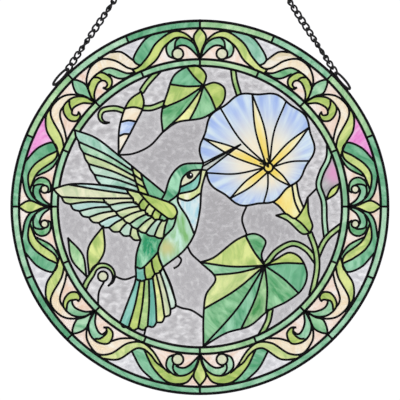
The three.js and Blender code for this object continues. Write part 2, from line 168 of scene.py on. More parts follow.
# Strips by sixteenths, turning from the right-hand side over the top.
OUTER_STRIPS = ["green_ring", "green_pale", "green_mint", "green_pale", "green_deep", "green_soft",
                "green_pale", "green_ring", "green_soft", "green_deep", "green_ring", "green_ring",
                "green_mint", "green_mint", "green_mint", "green_soft"]
PALE_STRIPS = (1, 3, 6, 8, 10, 12, 14)      # inner strips of pale glass
RAY_SHIFT = {3: -1.0, 5: 1.0}               # degrees by which two of the strip ends stand off their sixteenth
LONG_STRIPS = (11, 13)                      # outer strips that run on from the one before
for i in range(RING_STRIPS):
    turn = 2 * math.pi * i / RING_STRIPS + math.radians(RAY_SHIFT.get(i, 0.0))
    half = math.pi / RING_STRIPS
    if i not in LONG_STRIPS:
        lead_lines.append(ray(turn, RING_OUTER, RIM_LINE))
    lead_lines.append(ray(turn, RING_PICTURE, RING_INNER))
    outer_middle = ray(turn + half, 0, (RING_OUTER + RIM_LINE) / 2)[1]
    inner_middle = ray(turn + half, 0, (RING_PICTURE + RING_INNER) / 2)[1]
    pane_glass.append((OUTER_STRIPS[i], outer_middle))
    pane_glass.append(("green_pale" if i in PALE_STRIPS else "green_inner", inner_middle))

# The border, drawn for the quarter between the top axis and the right-hand axis.
LEAF_ON_AXIS = [
    [(199.9, 27.5), (205.6, 35), (206, 39.5), (202, 49.6), (199.9, 58.3)],
    [(200, 58), (206.2, 43.5), (215.4, 37.9), (225.6, 38.6), (233.4, 46.5), (231.3, 55.8), (225, 58.7)],
    [(200, 58.3), (210.3, 48.1), (215.4, 45.5), (220.5, 45.8), (224, 47.6)],
    [(222.3, 58.6), (222.3, 60.6)],
]
BULB_ON_AXIS = ((222, 53.8), 5.6)       # centre and radius, grid units
LEAF_ON_DIAGONAL = [
    [(327.2, 79.6), (322, 80.4), (313.9, 84.9), (308.4, 97.6), (304.8, 102.2)],
    [(327.4, 79.8), (327.1, 84.5), (322.9, 93.6), (315.5, 96), (305, 102.2)],
]
TOP_HOOK = [
    [(304.8, 102.2), (308.4, 97.6), (311.6, 88.6), (310.7, 83.1), (302.6, 73.9), (297.5, 72.6),
     (288.6, 78.5), (287.8, 83.6), (290.4, 88.4), (294.2, 89.2), (296.4, 87.8)],
    [(304.6, 102), (305.5, 94), (301.5, 83.1), (297.5, 80.6), (293.8, 81.7), (292.4, 84.6), (293.8, 87.2),
     (296.4, 87.8)],
    [(297.5, 80.8), (300.9, 77.9), (306.7, 77.4)],
]
BOTTOM_HOOK = [
    [(304.9, 102.3), (311.3, 88.2), (308.8, 77.2), (301.8, 70.9), (292.8, 69.4), (289.3, 71.7),
     (287, 80.2), (291.3, 85.6), (295.8, 85.8)],
    [(303.8, 100.7), (304.5, 89.2), (300.3, 80.2), (297.5, 79), (293.2, 82.7), (293.8, 85.2),
     (295.8, 85.8)],
    [(304.5, 74.5), (299.8, 74.6), (293.2, 80.2), (293, 82.5)],
]
SIDE_HOOK = [
    [(305.3, 102.3), (315.8, 96.7), (327.8, 98.1), (336.2, 106.4), (335.6, 113.7), (329.9, 120.5),
     (322.5, 120.6), (319.5, 115.4), (321.3, 112)],
]
UPPER_INSIDE = [
    [(305, 102.6), (307.9, 103.5), (317.4, 103.3), (326.9, 108.7), (327.4, 114.4), (322.5, 115.1),
     (321.3, 112.2)],
    [(330.3, 99.9), (330.4, 104.4), (328.1, 110.7)],
]
LOWER_INSIDE = [
    [(305, 102.4), (314.8, 101.6), (325.4, 106.2), (327.6, 112.4), (323.3, 113.6), (321.3, 112.1)],
    [(326.6, 113.4), (330.3, 112.4), (332.3, 109.6), (333.2, 103.2)],
]
TOP_SCROLL = [
    [(206.5, 40.2), (215.4, 33.2), (225.8, 31.3), (243.5, 43), (252.1, 56.7), (261.8, 67.4),
     (266.4, 69.2)],
    [(223.2, 31.3), (223.2, 29.2)],
    [(220.5, 37.6), (224.1, 41.4), (225.1, 48.6)],
    [(225.6, 38.6), (235.3, 46.5), (243.5, 59.8), (254.5, 69.5)],
    [(246, 33.6), (255.2, 39.9), (266.4, 59.5), (263.9, 63.4), (259, 65.6)],
    [(266.6, 60.2), (279.1, 52), (290, 52.5)],
    [(259.8, 66), (265.3, 68.9), (271.1, 68.2), (284.9, 60.7), (298.6, 59.3), (309.3, 67.6),
     (313.3, 80.2), (311.9, 89.4)],
    [(300, 59.6), (301.4, 57)],
    [(267.6, 69.3), (263.8, 74)],
    [(265.2, 72.6), (272.2, 73.3), (291.7, 68.1), (308.4, 79.6), (311.2, 86)],
    [(266.5, 73.5), (273.9, 77.9), (280.8, 78.5), (291.7, 74)],
]
BOTTOM_SCROLL = [
    [(206, 39.5), (213.4, 30.8), (230.6, 30.4), (246, 44.4), (255.6, 63.4)],
    [(222.5, 29.2), (222.5, 28)],
    [(221.8, 38), (225.4, 41.4), (226.9, 45.2), (226.4, 49)],
    [(230, 40.2), (235.6, 44.8), (247.6, 62.9), (258, 70.8), (271.8, 70), (289.8, 59.4), (302.5, 59.6),
     (312.2, 72.2), (313.4, 79), (311.9, 89.4)],
    [(298.9, 58.4), (300.6, 56.3)],
    [(258, 70.8), (257.6, 72.4)],
    [(236.4, 45.4), (243.6, 51), (248.8, 58), (255.4, 63.6), (262.5, 65), (281.6, 53.9), (297.5, 54.6)],
    [(268, 62), (258.7, 44.8), (246, 32.6)],
    [(265.2, 75), (279.5, 74.6), (289.3, 71.7)],
]
SIDE_SCROLL = [
    [(381.6, 206.6), (373, 201.2), (368.5, 200.8), (357.5, 205.2), (347.4, 206.6)],
    [(368.8, 200.8), (372.5, 196.5), (375.3, 190), (377.6, 176)],
    [(347.4, 206.6), (357.5, 204), (367.8, 195), (371.5, 175.5), (365.6, 165), (352.8, 155.8),
     (342.6, 150), (346.7, 142.8), (361, 147.5), (374.5, 161.5)],
    [(369.9, 189.5), (362.3, 173), (346, 160.7), (343.2, 156.8), (342.2, 152.2)],
    [(339.8, 156.6), (348.5, 168.5), (365.2, 177)],
    [(347.4, 206.4), (356.8, 199), (360.2, 190.6), (358.8, 188.6)],
    [(364.6, 198.2), (366.6, 193.5), (365.4, 186), (357.5, 184.3), (355.2, 185.4)],
    [(367.4, 186.2), (365, 181), (359.6, 177.6), (353.6, 178.6), (349.8, 182.6), (349.4, 191.2),
     (352.4, 192.6)],
    [(349.2, 190), (346.6, 190)],
    [(346.2, 104), (353.4, 115), (353, 130.6), (346, 142.8), (341.8, 152.5), (340.4, 158.8)],
    [(316.4, 96.2), (327.6, 94.5), (337.8, 96.9), (348, 107), (348.9, 115.5), (338, 137.5),
     (335.6, 148.4)],
    [(346.6, 104.6), (348.6, 103.2)],
    [(335.8, 105.8), (338.9, 110.2), (339.8, 115.5), (335, 131.5), (332.8, 142.5)],
]
BULB_ON_SIDE = ((355.2, 189.2), 3.8)
# The glass of each part, with points inside its panes. A name that differs by quarter is swapped below.
AXIS_GLASS = {"lime_ribbon": [(202, 38)], "curl": [(213, 42.3)], "green_soft": [(230.5, 50)],
              "lime_cream": [BULB_ON_AXIS[0]]}
LEAF_GLASS = {"green_leaf": [(316.5, 89.2)]}
DIAGONAL_LEAVES = {(1, 1): "green_inner", (-1, 1): "green_mint",
                   (1, -1): "green_leaf", (-1, -1): "green_inner"}
TOP_HOOK_GLASS = {"lime": [(290.5, 79.5), (307.5, 86)]}
BOTTOM_HOOK_GLASS = {"lime": [(298, 72.2)], "green_mint": [(307.8, 86)]}
SIDE_HOOK_GLASS = {"lime": [(328, 118.3)], "hook_stem": [(322, 100.2)]}
TOP_GLASS = {"ribbon": [(240.8, 47)], "aqua_blade": [(254, 48)], "clear_bright": [(268, 47)],
             "tan": [(277, 57)], "cream": [(291, 63.5)], "green_leaf": [(283, 74)]}
BOTTOM_GLASS = {"lime": [(224, 34)], "lime_soft": [(262, 67.5)], "green_ring": [(254, 46)],
                "clear_bright": [(270, 45)], "cream": [(296, 63.5)]}
SIDE_GLASS = {"lime_ribbon": [(372, 203.8), (356, 162), (350, 123)], "blade": [(358, 151)],
              "green_leaf": [(352, 168.2), (353, 182)], "green_mint": [(363, 193.5)],
              "lime_cream": [BULB_ON_SIDE[0]], "cream": [(344.2, 113)], "peach": [(333, 124)],
              "pink": [(358.5, 137)]}
SAG = 1.4                   # grid units by which a lower side scroll's middle is drawn further from the axis
SAG_MIDDLE = 148.0          # grid height where that is most
SAG_SPAN = 24.0             # grid units over which it fades


def mirrored(points, flip_x, flip_z):
    """Border points moved into another quarter of the border."""
    return [(x * flip_x, z * flip_z) for x, z in on_panel(points)]


def sagged(points):
    """A side scroll as it stands in the lower half, its middle a little further from the axis."""
    return [(x, y - SAG * math.exp(-((y - SAG_MIDDLE) / SAG_SPAN) ** 2)) for x, y in points]


def lay(lines, bulb, glasses, place, swaps):
    """Draws one part of the border in one quarter."""
    for points in lines:
        lead_lines.append(smooth(mirrored(points, *place)))
    if bulb:
        lead_lines.append(circle(bulb[1] * UNIT, mirrored([bulb[0]], *place)[0]))
    for name, points in glasses.items():
        for spot in mirrored(points, *place):
            pane_glass.append((swaps.get(name, name), spot))


for flip_x in (1, -1):
    for flip_z in (1, -1):
        upper = flip_z > 0
        place = (flip_x, flip_z)
        lay(LEAF_ON_AXIS, BULB_ON_AXIS, AXIS_GLASS, place,
            {"curl": "green_deep" if flip_x < 0 else "green_mint" if upper else "green_inner"})
        lay(LEAF_ON_DIAGONAL, None, LEAF_GLASS, place, {"green_leaf": DIAGONAL_LEAVES[place]})
        lay(SIDE_HOOK + (UPPER_INSIDE if upper else LOWER_INSIDE), None, SIDE_HOOK_GLASS, place,
            {"hook_stem": "lime" if upper else "green_inner"})
        if upper:
            swaps = {"ribbon": "lime_ribbon"}
            if flip_x < 0:
                swaps = {"aqua_blade": "green_deep", "ribbon": "lime", "green_leaf": "green_inner"}
            lay(TOP_HOOK, None, TOP_HOOK_GLASS, place, {})
            lay(TOP_SCROLL, None, TOP_GLASS, place, swaps)
            lay(SIDE_SCROLL, BULB_ON_SIDE, SIDE_GLASS, place,
                {"green_mint": "green_mint" if flip_x > 0 else "green_deep"})
        else:
            lay(BOTTOM_HOOK, None, BOTTOM_HOOK_GLASS, place, {})
            lay(BOTTOM_SCROLL, None, BOTTOM_GLASS, place, {})
            lay([sagged(line) for line in SIDE_SCROLL], BULB_ON_SIDE, SIDE_GLASS, place,
                {"pink": "clear_bright", "blade": "green_ring"})

# The picture: its broad areas by a few named edges, in grid units. Loops fill them with generic figures.
EDGES = {
    "wing_top": [(74.9, 130.2), (95, 137.5), (120, 156.5), (150, 181), (165, 193.4)],
    "wing_tips": [(74.9, 130.2), (78, 140), (92, 170.5), (101, 184.8)],
    "wing_roots": [(131.6, 165.7), (135, 179), (139, 192)],
    "wing_coverts": [(141, 173.7), (143.5, 183), (148.6, 195.3)],
    "low_wing_top": [(53.5, 188.9), (69, 184.4), (94.6, 184.4), (126.5, 189.5), (149.5, 195.6), (168.5, 202)],
    "low_wing_point": [(53.5, 188.9), (57, 193.4), (61.5, 197)],
    "low_wing_tips": [(61.5, 197), (82, 213), (102, 224.5), (119.5, 231.6), (140.6, 240)],
    "first_feather": [(61.5, 197), (82, 198), (107, 198.4), (133, 198.3)],
    "top_feather": [(69, 184.6), (100, 190), (129, 194)],
    "wing_row": [(103, 198.4), (116, 212), (128, 222.5), (141, 231), (152, 235.5), (163.4, 238)],
    "low_coverts": [(133, 198.3), (140, 206), (148, 213), (157, 219), (168, 218.4)],
    "covert_front": [(126.5, 189.5), (129, 194), (133, 198.3)],
    "arm_under": [(139, 192), (147.5, 202), (158, 211), (168, 218.4)],
    "arm_end": [(168.5, 202), (174.5, 206), (177.2, 213), (173, 218.8), (168, 218.4)],
    "shoulder": [(165, 193.4), (161.5, 199.6)],
    "crown": [(165, 193.4), (171, 176), (182, 165), (203.6, 163.1)],
    "nape": [(168.5, 202), (178.1, 194), (182.5, 178.1), (190.8, 171), (201.7, 169.8)],
    "breast_back": [(178.1, 194), (178, 202), (187.5, 218), (194.3, 234.2)],
    "throat_edge": [(178, 198), (188, 200.6), (201, 193)],
    "front": [(206.8, 170.4), (201.7, 188.3), (199.9, 210), (194.3, 234.2), (184.4, 250), (162.8, 267.2)],
    "belly_back": [(176.4, 216), (173, 227.2), (163.4, 238), (158, 252), (162.8, 267.2)],
    "rump_left": [(140.6, 240), (136.5, 254), (135.5, 266.6)],
    "rump_under": [(135.5, 266.6), (141, 268.5), (150, 261), (158, 252)],
    "tail_left": [(135.5, 266.6), (135.8, 278.7), (127, 304), (120.2, 322.1)],
    "tail_roots": [(135.8, 278.7), (146, 279.5), (156, 273), (162.8, 267.2)],
    "tail_tips": [(120.2, 322.1), (133, 328), (148, 326), (165, 316.5), (175.5, 301)],
    "tail_right": [(175.5, 301), (170.5, 283.8), (162.8, 267.2)],
    "claw": [(178.5, 256.2), (181.3, 259.6), (178.7, 265.3), (173.6, 268.5)],
    "calyx_top": [(276.1, 215.4), (285.7, 213.8), (295, 218.5), (303.5, 208), (307.7, 197.2)],
    "calyx_under": [(276.1, 215.4), (287.6, 220.8), (303, 234), (309.8, 233)],
    "calyx_right": [(307.7, 197.2), (308.7, 213.8), (312.5, 226.5), (309.8, 233)],
    "calyx_middle": [(295, 218.5), (302, 224), (309.8, 233)],
    "upper_leaf_left": [(203.6, 85.8), (206, 75), (195.9, 65.5), (175.5, 74), (166.9, 94.4), (161.5, 114.2),
                        (162.8, 132.1)],
    "upper_leaf_right": [(203.6, 85.8), (215, 82.6), (224.3, 88.1), (223.3, 101.5), (205, 117),
                         (176.8, 122.5), (162.8, 132.1)],
    "big_leaf_lobe": [(264.7, 265.6), (261.5, 255), (265.5, 241), (254.8, 233.8), (238.3, 238.9),
                      (212.8, 258), (200.4, 262.3)],
    "big_leaf_foot": [(200.4, 262.3), (215.5, 278.5), (206.1, 294.6), (203.6, 313.8), (203.4, 346.3)],
    "big_leaf_right": [(264.7, 265.6), (275.5, 259.6), (289.5, 252.6), (300, 257.5), (307, 274),
                       (302.3, 288.9), (287.6, 301), (268.5, 310.6), (249.5, 325.9), (226.5, 332.9),
                       (203.4, 346.3)],
    "bud_left": [(141.2, 91.5), (129.1, 100.8), (119.8, 125.7), (118.4, 155)],
    "bud_right": [(141.2, 91.5), (143.8, 104), (133.5, 127), (118.4, 155)],
    "bud_foot": [(118.4, 155), (132.9, 153.7), (149.5, 146.1), (162.8, 132.1)],
    "calyx_to_vine": [(307.5, 197.6), (316, 189)],
    "flower_to_leaf": [(246.6, 206), (242.1, 219), (246.8, 235)],
    "breast_to_leaf": [(187.5, 246.2), (191.3, 253.6), (200.4, 262.3)],
    "tail_to_leaf": [(174.6, 305), (181.9, 308), (191.5, 310.3), (204, 318.4)],
    "plant_to_tail": [(113, 275.4), (124.6, 279.4), (135.6, 276)],
    "bulb_to_ring": [(104, 282), (99.1, 291.5), (98, 305)],
    "tail_to_ring": [(146, 327), (143.9, 336.5)],
}
outlines = {name: smooth(on_panel(points)) for name, points in EDGES.items()}
FEATHERED = {"wing_tips", "low_wing_tips", "tail_tips", "tail_roots", "low_coverts", "wing_row", "wing_roots"}
VEIN_BOW = 0.04             # how far a leaf's vein bows, as a share of its length
STEM_WIDTH = 6.5            # mm, from one lead of a stem to the other
TAPER = 4                   # the higher, the nearer to its end a pointed stem narrows
BLADE_SWELL = 0.14          # how far the edges of a small leaf bow out, as a share of its length


def at(line, share):
    """The point at a share of a line's length."""
    reach = np.cumsum([0] + [math.dist(a, b) for a, b in zip(line, line[1:])])
    return tuple(float(np.interp(share * reach[-1], reach, [p[k] for p in line])) for k in (0, 1))


def middle(*points):
    return tuple(sum(p[k] for p in points) / len(points) for k in (0, 1))


def bowed(start, stop, bow, fine=False):
    """A lead line that swells to its left by a share of its length."""
    half = middle(start, stop)
    swell = (half[0] - bow * (stop[1] - start[1]), half[1] + bow * (stop[0] - start[0]))
    if fine:
        narrow.add(len(lead_lines))
    lead_lines.append(smooth([start, swell, stop]))


def feathers(tips, roots, glasses, bow, scallop):
    """A row of feathers between two edges, one for each glass: rounded tips and the lines that part them."""
    for i, name in enumerate(glasses):
        tip, next_tip = (at(tips, k / len(glasses)) for k in (i, i + 1))
        root, next_root = (at(roots, k / len(glasses)) for k in (i, i + 1))
        bowed(tip, next_tip, scallop)
        bowed(next_tip, next_root, bow)
        pane_glass.append((name, middle(tip, next_tip, root, next_root)))


def leaf(veins, glasses):
    """Veins that fan from a leaf's notch to shares of its sides, and a glass for the field after each."""
    notch = outlines[list(veins)[0]][0]
    ends = [at(outlines[side], share) for side, shares in veins.items() for share in shares]
    for end in ends[1:-1]:
        bowed(notch, end, VEIN_BOW)
    for name, one, two in zip(glasses, ends, ends[1:]):
        pane_glass.append((name, middle(notch, middle(one, two))))


def stem(points, name="stem", pointed=False, beside=()):
    """Two leads along a path and a strip of glass between, up to the picture's ring or another stem."""
    path = smooth(on_panel(points))
    tangents = np.gradient(np.array(path), axis=0)
    tangents /= np.linalg.norm(tangents, axis=1)[:, None]
    shares = np.linspace(0, 1, len(path))
    halves = STEM_WIDTH / 2 * (1 - shares ** TAPER if pointed else np.ones(len(path)))
    for side in (-1, 1):
        line = [(x - side * h * t[1], z + side * h * t[0]) for (x, z), t, h in zip(path, tangents, halves)]
        line = [p for p in line if all(math.dist(p, q) > STEM_WIDTH / 2 for q in beside)]
        lead_lines.append([p for p in line if math.hypot(*p) < RING_PICTURE])
    pane_glass.append((name, at(path, 0.5)))
    return path


def hook(centre, radius, start, stop, count):
    """Grid points of an arc between two turns in degrees."""
    turns = np.linspace(math.radians(start), math.radians(stop), count)
    return [(centre[0] + radius * math.cos(t), centre[1] - radius * math.sin(t)) for t in turns]


def blade(foot, tip, name, swell=BLADE_SWELL):
    """A small pointed leaf between two curved leads."""
    foot, tip = on_panel([foot, tip])
    bowed(foot, tip, swell)
    bowed(foot, tip, -swell)
    pane_glass.append((name, middle(foot, tip)))


for name, line in outlines.items():
    if name not in FEATHERED:
        lead_lines.append(line)

# Bird: rows of feathers, the body's fields, the eye and a long bill.
WING_ROW_SHARE = 0.62       # how much of the inner row's edge carries the outer row
ROW_POINTS = 20             # steps along that share
row_shares = [WING_ROW_SHARE * i / ROW_POINTS for i in range(ROW_POINTS + 1)]
outlines["outer_row"] = [at(outlines["wing_row"], share) for share in row_shares]
# Rows of feathers: the edges of their tips and roots, how far the partings and the tips bow, and the glasses.
FEATHER_ROWS = [
    ("wing_tips", "wing_roots", 0.03, -0.08, ["aqua", "mint", "lime_frost", "mint_pale", "aqua"]),
    ("wing_roots", "wing_coverts", 0.0, 0.0, ["lime_soft", "lime_soft", "lime"]),
    ("low_wing_tips", "outer_row", 0.04, -0.2,
     ["lime_frost", "aqua_pale", "mint_pale", "cream_frost", "aqua_pale", "lime_frost", "mint_pale",
      "lime_frost"]),
    ("wing_row", "low_coverts", 0.04, -0.12,
     ["cream_frost", "mint_pale", "lime_frost", "lime_frost", "mint", "lime_frost", "mint_pale",
      "lime_frost"]),
    ("low_coverts", "arm_under", 0.05, -0.25, ["lime_soft", "lime", "lime_soft", "lime", "green_leaf"]),
    ("tail_roots", "rump_under", 0.05, -0.2, ["teal", "lime", "lime"]),
    ("tail_tips", "tail_roots", -0.02, -0.3,
     ["teal", "lime", "stem", "teal", "lime_pale", "cream_frost", "mint_frost"]),
]
for tips, roots, bow, scallop, glasses in FEATHER_ROWS:
    feathers(outlines[tips], outlines[roots], glasses, bow, scallop)
BODY_GLASS = {"aqua_pale": (95, 186.3), "cream_frost": (90, 193), "green_deep": (155, 190),
              "lime": (163, 206), "head": (174, 182), "throat": (193, 195.5), "breast": (190, 207),
              "belly": (180, 236), "green_mint": (170, 222), "rump": (147, 252),
              "lime_cream": (185.4, 176.6), "teal": (192.3, 184.3)}
for name, spot in BODY_GLASS.items():
    glass(name, spot)
EYE = ((189.8, 175.6), 4.8)             # black enamel bead: place, and radius in mm
EYE_GLINT = ((190.8, 174.6), 1.0)       # white bead on it, a painted glint
CHEEK = (180.8, 187)
CHEEK_BOW = -0.1
JAW = (178.6, 194)
JAW_BOW = -0.27
BILL_CORNERS = [(201.7, 169.8), (203.6, 163.1), (206.8, 170.4), (240.6, 144.5)]     # root, top, foot and tip
cheek, jaw, bill_root, bill_top, bill_foot, bill_tip = on_panel([CHEEK, JAW, *BILL_CORNERS])
bowed(cheek, bill_root, CHEEK_BOW)
bowed(jaw, bill_root, JAW_BOW)
for start, stop in ((bill_top, bill_root), (bill_root, bill_foot), (bill_top, bill_tip),
                    (bill_foot, bill_tip), (middle(bill_root, bill_top), bill_tip)):
    bowed(start, stop, 0.0, fine=True)
glass("bill", (209, 162), (208, 166.5))

# Flower: a wavy round rim, five rays and five seams that meet in the throat, a tube and sepals.
FLOWER = (258, 150)         # grid place of its middle
THROAT = (268.5, 167.5)
FLOWER_RADIUS = 57.0        # grid units, as are the next depths and lengths
FLOWER_WAVES = 10
WAVE_DEPTH = 1.5
FAR_SIDE = math.radians(-45)    # the side that leans away is drawn shorter
FAR_SHORT = 8.0
FAR_SPAN = math.radians(38)     # how far round that fades
BEHIND_BIRD = (204, 194)    # degrees where the rim starts and ends, with the bird before it between them
RIM_STEP = 6                # degrees between the points of the rim
RAYS = 5
RAY_START = 24              # degrees
RAY_SWELL = 0.05            # how far a ray's edges bow out, as a share of their length
SEAM_BOW = 0.06             # how far a seam bows, as a share of its length
THROAT_RING = 4.5           # grid units, radius of the small ring where rays and seams meet
RAY_SPOTS = (0.4, 0.75)     # shares of the way to the rim where a ray's panes are named
PETAL_SPOT = 0.6            # share of the way to the rim where a petal's pane is named
GROUND_SEAM = ((208.5, 115), 146)   # a seam of the ground: its far end, and the degree of the rim it meets
TUBE_LINES = [(-74, (278.1, 205.5), (285.7, 214)), (-40, (299, 196), (303.5, 207.5)),
              (-46, (295, 202), (299.5, 212))]      # degree of the rim where each starts, then its points
STAMEN_LENGTH = 13.0        # mm
STAMEN_TURNS = (100, 128, 156)
STAMEN_BEND = 1.0           # mm


def rim_at(degrees):
    turn = math.radians(degrees)
    away = math.remainder(turn - FAR_SIDE, 2 * math.pi) / FAR_SPAN
    reach = FLOWER_RADIUS + WAVE_DEPTH * math.cos(FLOWER_WAVES * turn) - FAR_SHORT * math.exp(-away ** 2)
    return (FLOWER[0] + reach * math.cos(turn), FLOWER[1] - reach * math.sin(turn))


lead(*[rim_at(d) for d in range(BEHIND_BIRD[0], BEHIND_BIRD[1] + 360 + 1, RIM_STEP)])
throat = on_panel([THROAT])[0]
half_turn = 180 / RAYS
seams = [on_panel([rim_at(RAY_START + half_turn * (2 * i + 1))])[0] for i in range(RAYS)]
ring_corners = [at([throat, tip], THROAT_RING * UNIT / math.dist(throat, tip)) for tip in seams]
lead_lines.append(circle(THROAT_RING * UNIT, throat))
for i in range(RAYS):
    turn = RAY_START + 2 * half_turn * i
    tip = on_panel([rim_at(turn)])[0]
    for corner, bow in ((ring_corners[i - 1], -RAY_SWELL), (ring_corners[i], RAY_SWELL)):
        bowed(corner, tip, bow, fine=True)
    bowed(ring_corners[i], seams[i], SEAM_BOW, fine=True)
    for share in RAY_SPOTS:
        pane_glass.append(("ray", at([throat, tip], share)))
    for quarter in (half_turn / 2, -half_turn / 2):
        pane_glass.append(("petal", at([throat, on_panel([rim_at(turn + quarter)])[0]], PETAL_SPOT)))
glass("ray", THROAT)
lead(GROUND_SEAM[0], rim_at(GROUND_SEAM[1]))
glass("petal", (207, 149))
stamen_lines = []
for turn in STAMEN_TURNS:
    way = (math.cos(math.radians(turn)), math.sin(math.radians(turn)))
    tip = (throat[0] + STAMEN_LENGTH * way[0], throat[1] + STAMEN_LENGTH * way[1])
    half = middle(throat, tip)
    stamen_lines.append(smooth([throat, (half[0] + STAMEN_BEND, half[1] + STAMEN_BEND), tip]))
for turn, *points in TUBE_LINES:
    lead(rim_at(turn), *points)
glass("tube", (286, 206))
glass("tube_pale", (299, 203))
glass("stem", (290, 219.5))
glass("lime", (307.5, 215))

# Leaves, stems, the bud and a young plant.
# Shares of each side where a leaf's veins end, from one side of the notch to the other, and the glasses.
LEAVES = [
    ({"upper_leaf_left": (0.1, 0.32, 0.55, 0.78, 1), "upper_leaf_right": (0.72, 0.45, 0.1)},
     ["lime", "green_deep", "lime_ribbon", "green_leaf", "lime_pale", "green_leaf", "lime"]),
    ({"big_leaf_lobe": (0.15, 0.48, 1), "big_leaf_foot": (0.2, 0.6, 1),
      "big_leaf_right": (0.78, 0.62, 0.42, 0.25, 0.08)},
     ["green_leaf", "lime_ribbon", "green_inner", "lime_soft", "green_leaf", "green_ring", "leaf_streak",
      "green_leaf", "green_deep", "lime"]),
]
for veins, glasses in LEAVES:
    leaf(veins, glasses)
BUD_BANDS = (0.3, 0.5, 0.7)     # shares of the bud's length
BAND_LEAN = 0.04                # how much lower than that a band starts on the left, and higher on the right
BAND_BOW = 0.1
BUD_GLASS = {0.17: "lime", 0.4: "cream", 0.6: "bud_blue", 0.82: "cream"}
left, right = outlines["bud_left"], outlines["bud_right"]
for share in BUD_BANDS:
    bowed(at(left, share + BAND_LEAN), at(right, share - BAND_LEAN), BAND_BOW)
for share, name in BUD_GLASS.items():
    pane_glass.append((name, middle(at(left, share), at(right, share))))
# Paths of the stems, each with the stem that it stops at.
STEMS = {
    "bud": ([(141.6, 91.5), (147, 83.5), (162, 67)], None),
    "bud_to_leaf": ([(142.6, 108), (151, 108), (164.5, 103)], None),
    "above_flower": ([(233, 66), (234.6, 80), (239, 95)], None),
    "below_flower": ([(309.8, 233.2), (315.5, 250), (317, 268), (310, 302)], None),
    "to_right": ([(316.5, 258), (326, 239), (346, 222)], "below_flower"),
    "big_leaf": ([(266, 264), (277, 251), (293, 243.5), (306, 249), (316.5, 262)], "below_flower"),
    "below_leaf": ([(270.5, 309.4), (268, 321), (258, 340)], None),
    "vine": ([(329, 136), (328.5, 158), (321.5, 173), (318.6, 185), (323.6, 201), (324.6, 222),
              (326.4, 238.6)], "to_right"),
}
stem_paths = {}
for name, (points, other) in STEMS.items():
    stem_glass = "green_soft" if name == "vine" else "stem"
    stem_paths[name] = stem(points, stem_glass, beside=stem_paths.get(other, ()))
blade((326, 200), (340.5, 183), "lime")
glass("pink_grey", (333, 176))
TENDRIL = ((107, 116), 7.0, 90, 290, 6)     # its hook: centre and radius in grid units, degrees, points
stem([(124.6, 111), (116, 108.5), *hook(*TENDRIL)], pointed=True)
PLANT_BULB = ((102.9, 276.3), 5.0)
PLANT_HOOK = (PLANT_BULB[0], 11.0, 170, -60, 8)
lead_lines.append(circle(PLANT_BULB[1] * UNIT, on_panel([PLANT_BULB[0]])[0]))
stem([(79.5, 302), (86.5, 283), *hook(*PLANT_HOOK)], pointed=True)
blade((86.5, 276.5), (68, 238), "green_pale")
blade((89, 274.5), (103.3, 226), "lime_ribbon", swell=0.16)
glass("lime_cream", PLANT_BULB[0])
glass("clear_dark", (180, 140), (215, 225), (262, 225), (225, 240), (280, 235))
glass("clear_pale", (75, 155), (265, 85), (218, 72), (155, 92), (110, 310), (175, 325), (235, 338), (122, 94),
      (104, 132), (334, 211))


def snap_ends(lines, targets):
    """Runs each open end on to the nearest other lead, so that no pane leaks into its neighbour."""
    starts = np.array([a for line in targets for a in line[:-1]])
    stops = np.array([b for line in targets for b in line[1:]])
    owner = np.array([i for i, line in enumerate(targets) for _ in line[:-1]])
    along = stops - starts
    square = np.maximum((along ** 2).sum(axis=1), TINY ** 2)
    snapped = []
    for i, line in enumerate(lines):
        line = list(line)
        if math.dist(line[0], line[-1]) < TINY:
            snapped.append(line)
            continue
        for end, before in ((0, 1), (-1, -2)):
            tip = np.array(line[end])
            share = np.clip(((tip - starts) * along).sum(axis=1) / square, 0, 1)
            foot = starts + along * share[:, None]
            gap = np.linalg.norm(foot - tip, axis=1)
            gap[owner == i] = FAR
            near = int(gap.argmin())
            if gap[near] > SNAP:
                continue
            apart = np.where(gap < MEETS, FAR, gap)
            if apart.min() < CLOSE:
                near = int(apart.argmin())
            way = foot[near] - tip
            if gap[near] < MEETS:
                way = tip - np.array(line[before])
            past = tuple(foot[near] + way / max(np.linalg.norm(way), TINY) * OVERLAP)
            if end == 0:
                line.insert(0, past)
            else:
                line.append(past)
        snapped.append(line)
    return snapped


lead_lines = snap_ends(lead_lines, lead_lines + ring_lines + [rim_line])


def cut_disc(lines):
    """Cuts the disc along every line: its points, its triangles, the cut edges and a finder of lines."""
    points = []
    edges = []
    for line in lines:
        first = len(points)
        points.extend(line)
        edges.extend((first + i, first + i + 1) for i in range(len(line) - 1))
    rows = int(PANEL_RADIUS / GLASS_GRID)
    on_lines = kdtree.KDTree(len(points))
    for i, (x, z) in enumerate(points):
        on_lines.insert((x, 0, z), i)
    on_lines.balance()
    for i in range(-rows, rows + 1):
        for k in range(-rows, rows + 1):
            spot = ((i + 0.5 * (k % 2)) * GLASS_GRID, k * GLASS_GRID)
            inside = math.hypot(*spot) < PANEL_RADIUS - RIM_WIDTH
            if inside and on_lines.find((spot[0], 0, spot[1]))[2] > GRID_CLEAR * GLASS_GRID:
                points.append(spot)
    made = geometry.delaunay_2d_cdt([Vector(p) for p in points], edges, [], 0, SAME_POINT)
    corners, made_edges, triangles, _, edge_sources, _ = made
    walls = {tuple(sorted(e)) for e, source in zip(made_edges, edge_sources) if source}
    return corners, triangles, walls, on_lines


